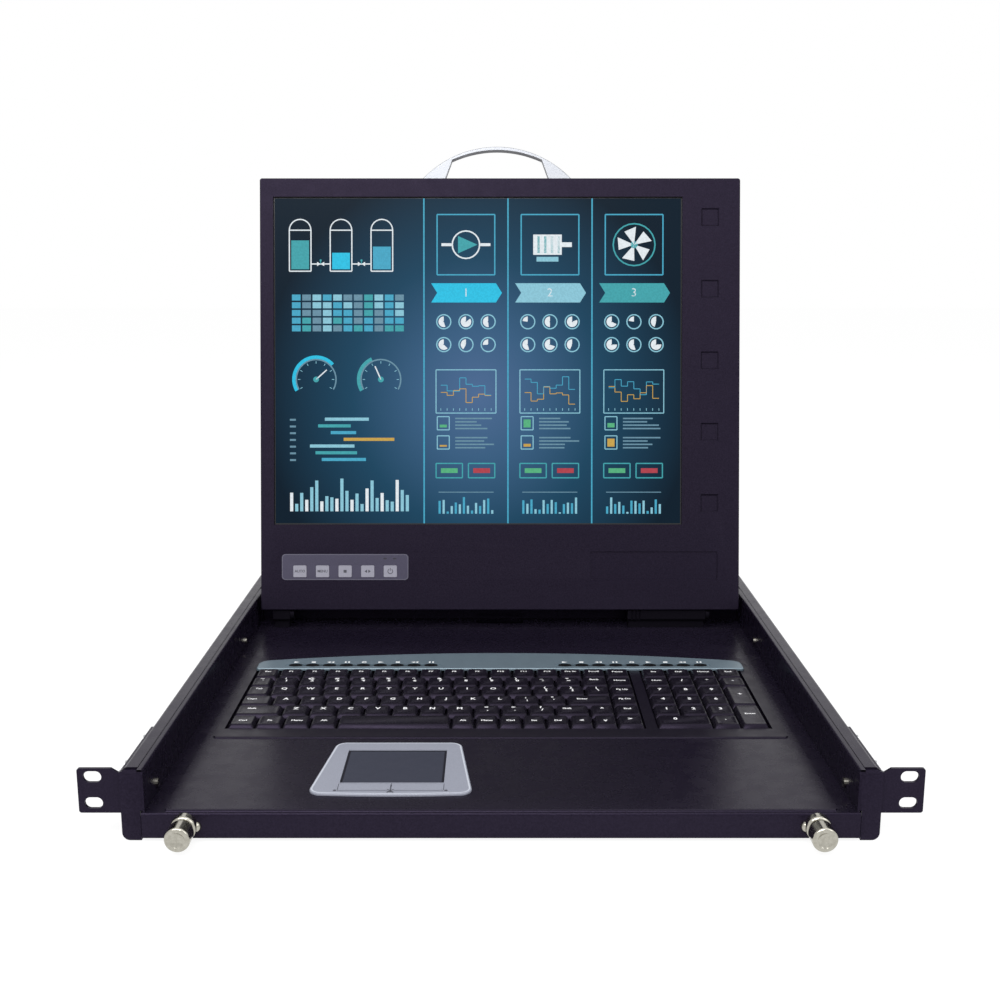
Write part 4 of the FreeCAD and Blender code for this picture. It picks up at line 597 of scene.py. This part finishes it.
# ---- Keyboard ----
def rounded_loop(x0, x1, y0, y1, z, radius, steps=3):
    """Points of a rounded rectangle, starting at its lower right corner."""
    points = []
    corners = ((x1 - radius, y0 + radius, -90), (x1 - radius, y1 - radius, 0),
               (x0 + radius, y1 - radius, 90), (x0 + radius, y0 + radius, 180))
    for cx, cy, start in corners:
        for i in range(steps + 1):
            angle = math.radians(start + 90 * i / steps)
            points.append(Vector((*around(cx, cy, radius, angle), z)))
    return points


def add_cap(built, low, high):
    """One key cap: flared skirt, rounded shoulder and a dished top."""
    x0, y0, z0 = (c / MM for c in low)
    x1, y1, z1 = (c / MM for c in high)
    rings = []
    for share, further, from_top, rise, radius in CAP_LOOPS:
        step, lean = share * KEY_TAPER + further, share * KEY_LEAN
        loop = rounded_loop(x0 + step, x1 - step, y0 + step + lean, y1 - step + lean,
                            (z1 if from_top else z0) + rise, radius)
        rings.append([built.verts.new(p * MM) for p in loop])
    loft(built, rings)
    built.faces.new(rings[-1])
    built.faces.new(rings[0][::-1])


def key_caps(node):
    """Replace a row of plain caps by shaped ones; returns the caps' boxes from left to right."""
    boxes = lump_boxes(node, lambda low: (round(low.y, 3), low.x))
    built = bmesh.new()
    for low, high in boxes:
        add_cap(built, low, high)
    piece = mesh_piece("caps_" + node, built, key_plastic, body_of[node], CAP_SMOOTH)
    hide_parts(node)
    return boxes


LETTER = 5.4                  # size of single signs
WORD = 3.5                    # size of words
WEIGHT = 0.17                 # stroke's thickening
# Each row's shift of the legends behind the middle of their caps, and the legends from left to
# right; a pair is a shifted sign above a plain one.
ROW_LEGENDS = {
    "keys_function_row": (2.8, ["Esc", *("F" + str(i) for i in range(1, 13)), "Prt Sc", "Scroll"]),
    "keys_number_row": (4.2, [*zip("~!@#$%^&*()_+", "`1234567890-="), "Back"]),
    "keys_upper_row": (3.9, ["Tab", *"QWERTYUIOP", *zip("{}|", "[]\\")]),
    "keys_home_row": (2.2, ["Caps", *"ASDFGHJKL", *zip(":\"", ";'"), "Enter"]),
    "keys_lower_row": (2.6, ["Shift", *"ZXCVBNM", *zip("<>?", ",./"), "Shift", "^"]),
    "keys_bottom_row": (-0.6, ["Ctrl", "Fn", "Menu", "Alt", "Alt", "Menu", "Ctrl", "Ins", "Del",
                               "<", "v"]),
    "space_bar": (0, [""]),
    "keys_navigation": (2.4, [">", "End", "Pg Dn", "Pg Up", "Home", "Pause"]),
    "keys_numpad": (2.4, ["0", ".", "Enter", *"123456+789", "Num", *"/*-", "Ins", "Del", "Home",
                          "End"]),
}


def legends(node, boxes):
    """White legends on the caps of one row, towards the rear of each cap."""
    sheet = Flat(level_plane(boxes[0][1].z - LEGEND_DEPTH))
    shift, row = ROW_LEGENDS[node]
    for (low, high), words in zip(boxes, row):
        x, y = plan_centre(low, high)
        y += shift
        width = (high.x - low.x) / MM
        if width > WIDE_CAP:
            x -= width * 0.16
        if isinstance(words, tuple):
            sheet.text(words[0], x - 0.5, y + 2.2, LETTER * 0.9, 0, WEIGHT)
            sheet.text(words[1], x + 0.5, y - 2.6, LETTER * 0.9, 0, WEIGHT)
        elif len(words) > 1:
            sheet.text(words, x, y, WORD, 0, WEIGHT * 0.6)
        elif words:
            sheet.text(words, x, y, LETTER, 0, WEIGHT)
    if sheet.faces:
        sheet.build("legends_" + node, [legend_white], body_of[node], node_slot[node])


for key_node in ROW_LEGENDS:
    legends(key_node, key_caps(key_node))


# ---- Media strip ----
def media_sign(sheet, kind, x, y):
    """One of five generic signs: arrow, bar, double arrow, two bars and ring."""
    if kind == 0:
        sheet.polygon([(x - 2.0, y - 1.7), (x + 2.2, y), (x - 2.0, y + 1.7)])
    elif kind == 1:
        sheet.rect(x - 1.6, y - 1.4, x + 1.6, y + 1.4)
    elif kind == 2:
        sheet.polygon([(x - 2.8, y), (x, y - 1.6), (x, y + 1.6)])
        sheet.polygon([(x, y), (x + 2.8, y - 1.6), (x + 2.8, y + 1.6)])
    elif kind == 3:
        sheet.rect(x - 1.9, y - 1.5, x - 0.6, y + 1.5)
        sheet.rect(x + 0.6, y - 1.5, x + 1.9, y + 1.5)
    else:
        sheet.arc(x, y, 1.0, 1.9, 0, 360, 0, 12)


def media_icons():
    """A small white sign behind each media button, and a ring of painted shade round each button, with lines of
    painted shade that join the buttons.
    """
    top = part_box("media_strip")[1].z + LIFT * MM
    sheet = Flat(level_plane(top))
    button_shade = Flat(level_plane(top))
    ring = [2 * math.pi * k / SHADE_STEPS for k in range(SHADE_STEPS + 1)]
    for node in ("media_buttons_left", "media_buttons_right"):
        boxes = lump_boxes(node, lambda low: low.x)
        for i, (low, high) in enumerate(boxes):
            x, y = plan_centre(low, high)
            half_x, half_y = (high.x - low.x) / 2 / MM, (high.y - low.y) / 2 / MM
            inner, outer = ([(x + (half_x + grow / 2) * math.cos(t), y + (half_y + grow) * math.sin(t))
                             for t in ring] for grow in (0.0, SHADE_RIM))
            for a, b, c, d in zip(inner, outer, outer[1:], inner[1:]):
                button_shade.polygon([a, b, c, d])
            media_sign(sheet, i % 5, x, high.y / MM + SIGN_GAP)
        for (low, high), following in zip(boxes, boxes[1:]):
            y = plan_centre(low, high)[1]
            start, end = high.x / MM + SHADE_RIM / 2, following[0].x / MM - SHADE_RIM / 2
            button_shade.line([(start, y), (end, y)], SHADE_LINK)
    body = body_of["media_strip"]
    sheet.build("media_icons", [icon_white], body, "silver_blue_moulding")
    button_shade.build("media_button_shade", [painted_recess_shade], body, "silver_blue_moulding")


media_icons()


# ---- Key panel below the picture ----
def keypad_marks():
    """Symbols on the five buttons of the display's key panel, its two lamps and its film's edge."""
    centres = [plan_centre(*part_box("osd_button_" + str(i)))[0] for i in range(1, 6)]
    y = SYMBOL_HEIGHT
    for i, x in enumerate(centres):
        sheet = Flat(panel_plane(-BUTTON_PROUD - LIFT))
        if i < 2:
            sheet.text(("AUTO", "MENU")[i], x, y, 3.1, 0, 0.06)
        elif i == 2:
            sheet.rect(x - 1.3, y - 1.2, x + 1.3, y + 1.2)
        elif i == 3:
            sheet.polygon([(x - 2.6, y), (x - 0.5, y - 1.4), (x - 0.5, y + 1.4)])
            sheet.polygon([(x + 2.6, y), (x + 0.5, y + 1.4), (x + 0.5, y - 1.4)])
        else:
            sheet.arc(x, y, 1.7, 2.3, 125, 415)
            sheet.line([(x, y + 0.4), (x, y + 2.8)], 0.6)
        name = str(i + 1)
        sheet.build("osd_symbol_" + name, [symbol_dark], "osd_button_" + name, "button_grey")
    lamps = Flat(panel_plane(-FILM_PROUD - LIFT))
    for x in (centres[4] - 4.4, centres[4] + 3.6):
        lamps.ellipse(x, LAMP_HEIGHT, 1.5, 0.7, 0, 16)
    lamps.build("osd_lamps", [lens_dark], "display", "keypad_grey")
    film = Flat(panel_plane(-FILM_PROUD - LIFT))
    loop = [(p.x, p.y) for p in rounded_loop(*FILM_OUTLINE, 0, 3.0, 5)]
    band(film, loop, inset(loop, 0.7))
    film.build("osd_film_edge", [film_edge], "display", "keypad_grey")


keypad_marks()


# ---- Picture on the screen ----
CYAN, PALE, TEAL, WHITE, SLATE, GREEN, RED, AMBER, AQUA = range(9)
picture_inks = [lit("picture_" + name, colour) for name, colour in (
    ("cyan", (0.07, 0.4, 0.58)), ("pale_blue", (0.27, 0.58, 0.7)), ("teal", (0.06, 0.38, 0.42)),
    ("white", (0.8, 0.86, 0.9)), ("slate", (0.15, 0.29, 0.38)), ("green", (0.1, 0.45, 0.22)),
    ("red", (0.45, 0.06, 0.08)), ("amber", (0.6, 0.38, 0.08)), ("aqua", (0.03, 0.55, 0.8)))]


def wave(i, seed):
    """A repeatable uneven height between 0 and 1."""
    return 0.5 + 0.5 * math.sin(i * 1.7 + seed) * math.cos(i * 0.6 + seed * 2.1)


def tank(sheet, u, v, width, height, level, ink):
    sheet.frame(u, v, u + width, v + height, 1.0, WHITE)
    sheet.rect(u + 1.6, v + 1.6, u + width - 1.6, v + height * level, ink)
    sheet.arc(u + width / 2, v + height, width / 2 - 0.5, width / 2 + 0.5, 0, 180, WHITE, 12)


def valve(sheet, u, v, half):
    sheet.polygon([(u - half, v - half * 0.6), (u, v), (u - half, v + half * 0.6)], WHITE)
    sheet.polygon([(u + half, v - half * 0.6), (u + half, v + half * 0.6), (u, v)], WHITE)
    sheet.line([(u, v), (u, v + half)], 0.8, TEAL)
    sheet.disc(u, v + half, half * 0.3, TEAL, 10)


def process_picture(sheet, u, v):
    """Three tanks joined by pipes and valves."""
    for i, level in enumerate((0.75, 0.45, 0.6)):
        tank(sheet, u + 34 * i, v, 18, 34, level, (TEAL, AQUA, CYAN)[i])
    for i in range(2):
        left = u + 18 + 34 * i
        sheet.line([(left, v + 6), (left + 16, v + 6)], 1.0, WHITE)
        valve(sheet, left + 8, v + 6, 3.0)


def heat_grid(sheet, u, v):
    """Five rows of eleven tiles in uneven shades."""
    for row in range(5):
        for column in range(11):
            ink = (SLATE, TEAL, CYAN, PALE, SLATE)[int(wave(row * 11 + column, 0.7) * 4.99)]
            x, y = u + 8.6 * column, v + 6.4 * row
            sheet.rect(x, y, x + 7.2, y + 5.0, ink)


def schedule(sheet, u, v):
    """Seven bars that start and end unevenly, each behind a short label bar."""
    for row in range(7):
        start, length = u + 8 + 40 * wave(row, 2.2), 18 + 30 * wave(row, 0.4)
        y = v + 5.6 * row
        sheet.rect(u, y, u + 5, y + 1.6, SLATE)
        sheet.rect(start, y, start + length, y + 2.6, (CYAN, TEAL, PALE, AMBER)[row % 4])


def dial(sheet, u, v, radius, share, ink):
    """Round gauge over 240 degrees, filled to a share, with marks and a hand."""
    sheet.arc(u, v, radius * 0.8, radius * 0.86, -30, 210, SLATE)
    sheet.arc(u, v, radius * 0.86, radius, 210 - 240 * share, 210, ink)
    for i in range(9):
        angle = math.radians(210 - 30 * i)
        sheet.line([around(u, v, radius * 0.66, angle), around(u, v, radius * 0.76, angle)], 0.5, PALE)
    sheet.line([(u, v), around(u, v, radius * 0.6, math.radians(210 - 240 * share))], 1.0, WHITE)
    sheet.disc(u, v, radius * 0.12, TEAL)


def pump(sheet, u, v, radius):
    sheet.arc(u, v, radius - 1.2, radius, 0, 360, WHITE)
    sheet.polygon([(u - radius * 0.55, v - radius * 0.6), (u + radius * 0.8, v),
                   (u - radius * 0.55, v + radius * 0.6)], TEAL)
    sheet.line([(u - radius * 1.7, v), (u - radius, v)], 2.4, WHITE)
    sheet.line([(u + radius, v), (u + radius * 1.7, v)], 2.4, WHITE)


def motor(sheet, u, v, half):
    sheet.rect(u - half, v - half * 0.6, u + half * 0.7, v + half * 0.6, WHITE)
    for i in range(4):
        x = u - half * 0.75 + half * 0.4 * i
        sheet.rect(x, v - half * 0.5, x + half * 0.14, v + half * 0.5, TEAL)
    sheet.rect(u + half * 0.7, v - half * 0.14, u + half * 1.3, v + half * 0.14, WHITE)
    sheet.rect(u - half * 0.8, v - half, u + half * 0.5, v - half * 0.72, PALE)


def fan(sheet, u, v, radius):
    """Five blades in a ring."""
    for i in range(5):
        a = math.radians(72 * i + 12)
        sheet.polygon([(u, v), around(u, v, radius, a), around(u, v, radius * 0.9, a + 0.75)], WHITE)
    sheet.arc(u, v, radius * 1.12, radius * 1.2, 0, 360, TEAL)
    sheet.disc(u, v, radius * 0.2, TEAL)


def step_chart(sheet, u, v, width, height, seed):
    """Framed chart with two stepped lines over a row of marks."""
    sheet.frame(u, v, u + width, v + height, 0.8, PALE)
    steps = [u + 4 + (width - 8) * i / 8 for i in range(9)]
    for ink, lift in ((CYAN, 0.2), (AMBER, 0.0)):
        corners = []
        for i in range(8):
            level = v + height * (0.2 + lift + 0.45 * wave(i, seed + lift * 9))
            corners += [(steps[i], level), (steps[i + 1], level)]
        sheet.line(corners, 0.6, ink)
    for x in steps:
        sheet.line([(x, v + 2), (x, v + 4)], 0.5, PALE)


def unit_column(sheet, u, v, index, motif, size):
    """One machine's column: sign, band, levels, chart, rows of figures and two switches."""
    width = 66.0
    middle = u + width / 2
    sheet.frame(u + 9, v + 207, u + width - 9, v + 257, 1.1, CYAN)
    motif(sheet, middle, v + 232, size)
    sheet.polygon([(u + a, v + b) for a, b in ((4, 184), (width - 8, 184), (width - 3, 192),
                                               (width - 8, 200), (4, 200), (9, 192))],
                  (AQUA, PALE, TEAL)[index])
    sheet.text(str(index + 1), middle, v + 192, 10, WHITE)
    for row in range(2):
        for i in range(3):
            x, y = middle + 18.5 * (i - 1), v + 168 - 19 * row
            sheet.arc(x, y, 5.4, 6.4, 0, 360, PALE, 18)
            share = 0.2 + 0.8 * wave(row * 3 + i, index * 1.3)
            sheet.arc(x, y, 0.4, 4.4, 90, 90 + 330 * share, WHITE, 14)
    step_chart(sheet, u + 8, v + 92, width - 16, 36, index * 1.9 + 0.5)
    for row in range(2):
        y = v + 62 + 16 * row
        sheet.frame(u + 9, y, u + 19, y + 11, 0.8, PALE)
        sheet.rect(u + 11, y + 2, u + 17, y + 2 + 7 * wave(row + index, 1.1), (AMBER, GREEN)[row])
        for i in range(4):
            end = u + 40 + 18 * wave(i + 3 * row, index)
            sheet.rect(u + 24, y + 0.5 + 2.8 * i, end, y + 1.7 + 2.8 * i, SLATE)
    for i, ink in enumerate((GREEN, RED)):
        x = u + 8 + 27 * i
        sheet.frame(x, v + 38, x + 22, v + 50, 1.0, TEAL)
        sheet.rect(x + 4, v + 42, x + 18, v + 46, ink)
    sheet.line([(u + 10, v + 26), (u + width - 10, v + 26)], 0.7, SLATE)
    for i in range(14):
        x = u + 10 + (width - 22) * i / 13
        sheet.rect(x, v + 8, x + 1.8, v + 9 + 14 * wave(i, index + 4.0), (CYAN, PALE)[i % 2])


def build_picture():
    """Backdrop and graphics of the plant overview, a little in front of the cell."""
    backdrop = Flat(panel_plane(BEZEL_SKIN - 0.02))
    backdrop.rect(ACTIVE_LEFT, ACTIVE_BOTTOM, ACTIVE_RIGHT, ACTIVE_TOP)
    low = panel_point(ACTIVE_LEFT, ACTIVE_BOTTOM, 0)
    high = panel_point(ACTIVE_RIGHT, ACTIVE_TOP, 0)
    backing = picture_backdrop("picture_backdrop", low, high)
    pieces = [backdrop.build("picture_backdrop", [backing], "display", "display_glass")]
    sheet = Flat(panel_plane(BEZEL_SKIN - 0.08))
    u, v = ACTIVE_LEFT, ACTIVE_BOTTOM
    for index, (motif, size) in enumerate(((pump, 12), (motor, 14), (fan, 15))):
        left = u + 124 + 70 * index
        sheet.line([(left, v), (left, v + ACTIVE_HEIGHT)], 1.2, CYAN)
        unit_column(sheet, left + 2, v, index, motif, size)
    process_picture(sheet, u + 12, v + 210)
    heat_grid(sheet, u + 14, v + 160)
    dial(sheet, u + 34, v + 120, 20, 0.7, AQUA)
    dial(sheet, u + 88, v + 120, 20, 0.4, TEAL)
    schedule(sheet, u + 12, v + 52)
    for i in range(24):
        x = u + 12 + 4.2 * i
        sheet.rect(x, v + 10, x + 2.6, v + 12 + 26 * wave(i, 3.1), (PALE, WHITE)[i % 3 == 0])
    pieces.append(sheet.build("picture_graphics", picture_inks, "display", "display_glass"))
    for thing in pieces:
        thing.visible_glossy = thing.visible_diffuse = False


build_picture()


# ---- Touchpad lines ----
def touchpad_lines():
    """Painted highlight on the bezel's rim, painted shade along the pad's border, and before the buttons a dark
    line of painted groove shade with dots and a cross.
    """
    for name, node, width, material, slot in (
            ("touchpad_rim_highlight", "touchpad_bezel", 1.0, rim_highlight, "silver_grey_moulding"),
            ("touchpad_border_shade", "touchpad_pad", 1.3, pad_edge_shade, "touchpad_surface")):
        edging = Flat(level_plane(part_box(node)[1].z + LIFT * MM))
        loop = outline(node)
        band(edging, loop, inset(loop, width))
        edging.build(name, [material], body_of[node], slot)
    left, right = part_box("touchpad_button_left"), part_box("touchpad_button_right")
    x, y = (left[1].x + right[0].x) / 2 / MM, left[0].y / MM - 1.2
    half = TOUCHPAD_LINE_HALF
    sheet = Flat(level_plane(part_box("touchpad_bezel")[1].z + LIFT * MM))
    # The dark line with its V notch stands for the groove before the buttons: painted shade.
    sheet.line([(x - half, y), (x - 2.4, y), (x, y - 2.2), (x + 2.4, y), (x + half, y)], 0.5)
    for sign in (-1, 1):
        sheet.disc(x + sign * (half + 1.6), y + 0.6, 1.1, 0, 14)
        sheet.line([(x - sign * 1.9, y - 2.6), (x + sign * 1.9, y + 2.0)], 0.9)
    sheet.build("touchpad_lines", [symbol_dark], body_of["touchpad_bezel"], "silver_grey_moulding")


touchpad_lines()


# ---- Folded edges of the tray ----
def folded_edges():
    """Wall tops turned out towards the rails, flange ends, and the upper part of the rear wall."""
    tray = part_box("tray_pan")
    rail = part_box("side_rail_right")
    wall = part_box("slide_inner_right")[0].x - SHEET
    edge = rail[1].x - EDGE_CLEARANCE
    flange = edge - FLANGE_WIDTH
    top, foot = rail[1].z - 0.1 * MM, tray[1].z - 2.0 * MM
    front = tray[0].y + SHEET
    bend = [(wall + SHEET - SHEET * math.cos(t), top - SHEET + SHEET * math.sin(t))
            for t in QUARTER_BEND]
    fold = [(wall, foot)] + bend + [(flange, top), (flange, top - SHEET), (wall + SHEET, top - SHEET),
                                    (wall + SHEET, foot)]
    low = foot + 0.8 * MM
    end = [(flange, low), (edge, low), (edge, tray[1].z), (flange, tray[1].z)]
    slope = [(tray[0].y + 1.5 * MM, tray[1].z), (front, tray[1].z), (front, top)]
    for side, sign in SIDES:
        extruded("wall_edge_" + side, [(sign * a, z) for a, z in fold], front, tray[1].y, "y")
        extruded("flange_return_" + side, [(sign * a, z) for a, z in end], front,
                 rail[0].y - EDGE_CLEARANCE, "y")
    for side, sign in SIDES:
        inner, outer = sorted((sign * (wall + 0.3 * MM), sign * edge))
        extruded("flange_cap_" + side, slope, inner, outer, "x")
    back, half = tray[1].y, wall - 0.1 * MM
    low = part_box("deck_plate")[1].z + REAR_WALL_START
    extruded("rear_wall_edge", [(back - SHEET, low), (back, low), (back, foot), (back - SHEET, foot)],
             -half, half, "x")


def front_rolls():
    """Rounded steps from the lip up to the deck plate, and from the deck up to the moulding."""
    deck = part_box("deck_plate")
    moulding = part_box("keyboard_frame")
    for name, node, low, reach, corner, material in (
            ("deck_front_roll", deck, deck[0].z, 2.4 * MM, 1.5 * MM, black_steel),
            ("moulding_front_roll", moulding, deck[1].z, 1.6 * MM, 2.0 * MM, black_plastic)):
        face, rise = node[0].y, node[1].z - LIFT * MM - low
        bend = [(face - reach * math.cos(t), low + rise * math.sin(t)) for t in QUARTER_BEND]
        start, end = node[0].x + corner, node[1].x - corner
        extruded(name, [(face, low)] + bend, start, end, "x", material)


folded_edges()
front_rolls()


# ---- Screw recesses, drawn as painted shade ----
def cross_recess(built, centre, across, up_way, size):
    """Flat cross of two strokes at a screw head's centre."""
    for first, second in ((across, up_way), (up_way, across)):
        corners = [centre + first * a * size + second * b * size * 0.22
                   for a, b in ((-1, -1), (1, -1), (1, 1), (-1, 1))]
        built.faces.new([built.verts.new(c) for c in corners])


def screw_recesses():
    """Painted shade of driver recesses on the small screws of the chassis and the tray."""
    along_x, along_y, along_z = Vector((1, 0, 0)), Vector((0, 1, 0)), Vector((0, 0, 1))
    for node in ("chassis_screws", "tray_fasteners"):
        built = bmesh.new()
        for low, high, _ in islands(node):
            size = high - low
            centre = (low + high) / 2
            if max(size) > LARGEST_SCREW:
                continue
            if size.z < size.x * 0.6 and abs(size.x - size.y) < 0.5 * MM:
                centre.z = high.z + LIFT * MM
                cross_recess(built, centre, along_x, along_y, 1.9 * MM)
                continue
            outward = 1 if (centre.x > 0) == (node == "chassis_screws") else -1
            centre.x = (high.x if outward > 0 else low.x) + outward * LIFT * MM
            cross_recess(built, centre, along_y, along_z, 1.6 * MM)
        mesh_piece("recess_shade_" + node, built, painted_recess_shade, body_of[node])


screw_recesses()


# ---- Interface board and sockets ----
def dress_board():
    """Show the board and each socket of the node in its own material."""
    *sockets, board = sorted(islands("interface_board"), key=lambda lump: lump[1].x - lump[0].x)
    sockets.sort(key=lambda lump: lump[0].x)
    piece = lump_piece("interface_pcb", board[2], board_green, "chassis")
    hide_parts("interface_board")
    for i, (_, _, faces) in enumerate(sockets):
        material = (zinc, zinc, socket_blue, socket_black)[i]
        lump_piece("interface_socket_" + str(i + 1), faces, material, "chassis")
    low, high = sockets[2][:2]
    dress_video_socket((low.x + high.x) / 2, high.z - 5.6 * MM, high.y)


def tapered(x, z, grow):
    """Corners of the socket's mouth, wider above, with the given rim added."""
    corners = ((-8.6, 4), (8.6, 4), (7.2, -4), (-7.2, -4))
    return [(x + (a + math.copysign(grow, a)) * MM, z + (h + math.copysign(grow, h)) * MM)
            for a, h in corners]


def dress_video_socket(x, z, back):
    """Plated flange and rim, two hexagonal posts, and painted shade in three rows of contact holes and in the
    posts' bores.
    """
    wall, front = back - 6.3 * MM, back - 5.5 * MM
    plate = [(x + a * MM, z + h * MM) for a, h in ((-15, -5.4), (15, -5.4), (15, 5.4), (-15, 5.4))]
    extruded("video_flange", plate, wall, front, "y", zinc, "chassis")
    built = bmesh.new()
    lip = back - 0.2 * MM
    loft(built, [[built.verts.new((a, y, h)) for a, h in tapered(x, z, grow)]
                 for grow, y in ((0.7, front), (0.7, lip), (0.1, lip), (0.1, front))])
    bmesh.ops.recalc_face_normals(built, faces=built.faces)
    mesh_piece("video_rim", built, zinc, "chassis")
    post_end = back - 0.6 * MM
    turns = [math.radians(60 * k + 30) for k in range(6)]
    bore = Flat(lambda a, h: (x + a * MM, post_end + LIFT * MM, z + h * MM))
    for side, sign in SIDES:
        post = [around(x + sign * POST_OFFSET * MM, z, 2.5 * MM, t) for t in turns]
        extruded("video_post_" + side, post, front, post_end, "y", zinc, "chassis")
        bore.disc(sign * POST_OFFSET, 0, 1.3, 0, 14)
    holes = Flat(lambda a, h: (x + a * MM, back + LIFT * MM, z + h * MM))
    for row, shift in enumerate((0.0, 1.15, 0.0)):
        for i in range(5):
            holes.disc(2.3 * i - 5.0 + shift, 2.0 - 2.0 * row, 0.55, 0, 10)
    for name, flat in (("video_contact_hole_shade", holes), ("video_post_bore_shade", bore)):
        flat.build(name, [painted_recess_shade], "chassis", "circuit_board")


dress_board()


# ---- Floor, light and camera ----
CAMERA_PLACE = (-0.0019, -0.6889, 0.3062)
CAMERA_PITCH = 12.063         # degrees below level
CAMERA_LENS = 46.6
SENSOR_WIDTH = 36.0
CAMERA_SHIFT = (0.0023, 0.0171)
SOFTBOXES = (("key_light", (-0.5, -1.1, 1.5), (0, 0.3, 0.2), (1.6, 0.7), 26),
             ("fill_light", (1.5, -0.8, 1.3), (0, 0.2, 0.1), (1.2, 1.0), 8),
             ("top_light", (0.2, -0.5, 2.0), (0, 0.2, 0), (2.0, 0.8), 10))


def seen_directly(tree):
    """1 for rays that show the surroundings: camera, gloss and transmission."""
    rays = add_node(tree, "LightPath")
    total = rays.outputs["Is Camera Ray"]
    for kind in ("Is Glossy Ray", "Is Transmission Ray"):
        larger = add_node(tree, "Math", {}, {0: total, 1: rays.outputs[kind]})
        larger.operation = "MAXIMUM"
        total = larger.outputs[0]
    return total


def floor_material():
    """Pale floor that still takes a soft shadow."""
    material = bpy.data.materials.new("floor")
    tree, output = empty_tree(material, "Material")
    diffuse = add_node(tree, "BsdfDiffuse", {"Color": (0.9, 0.9, 0.9, 1)})
    glow = add_node(tree, "Emission", {"Color": (1, 1, 1, 1), "Strength": FLOOR_GLOW})
    share = add_node(tree, "Math", {1: FLOOR_GLOW_SHARE}, {0: seen_directly(tree)})
    share.operation = "MULTIPLY"
    mixed = {i: node.outputs[0] for i, node in enumerate((share, diffuse, glow))}
    mix = add_node(tree, "MixShader", {}, mixed)
    tree.links.new(mix.outputs[0], output.inputs["Surface"])
    return material


def build_floor():
    """Wide square just below the part."""
    mesh = bpy.data.meshes.new("floor")
    z = cad_box[0].z - FLOOR_GAP
    corners = [(a * FLOOR_HALF, b * FLOOR_HALF, z) for a, b in ((-1, -1), (1, -1), (1, 1), (-1, 1))]
    mesh.from_pydata(corners, [], [(0, 1, 2, 3)])
    link_mesh("floor", mesh, [floor_material()])


def build_world():
    """Even pale surroundings: full white to the eye and in gloss, softer as a light."""
    world = bpy.data.worlds.new("studio")
    bpy.context.scene.world = world
    tree, output = empty_tree(world, "World")
    strength = map_range(tree, seen_directly(tree), (0.0, 1.0), (WORLD_LIGHT, 1.0))
    background = add_node(tree, "Background", {"Color": (1, 1, 1, 1)}, {"Strength": strength})
    tree.links.new(background.outputs[0], output.inputs["Surface"])


def area_light(name, place, target, size, watts):
    """Rectangular softbox that faces a target."""
    data = bpy.data.lights.new(name, "AREA")
    data.shape = "RECTANGLE"
    data.size, data.size_y = size
    data.energy = watts
    lamp = bpy.data.objects.new(name, data)
    lamp.location = place
    lamp.rotation_euler = (Vector(target) - Vector(place)).to_track_quat("-Z", "Y").to_euler()
    bpy.context.scene.collection.objects.link(lamp)


def build_camera():
    """Camera in front of the drawer, a little above the display's middle."""
    data = bpy.data.cameras.new("camera")
    data.sensor_width = SENSOR_WIDTH
    data.lens = CAMERA_LENS
    data.shift_x, data.shift_y = CAMERA_SHIFT
    camera = bpy.data.objects.new("camera", data)
    camera.location = CAMERA_PLACE
    camera.rotation_euler = (math.radians(90 - CAMERA_PITCH), 0, 0)
    bpy.context.scene.collection.objects.link(camera)
    bpy.context.scene.camera = camera


build_floor()
build_world()
for softbox in SOFTBOXES:
    area_light(*softbox)
build_camera()
bpy.context.scene.view_settings.view_transform = "Standard"
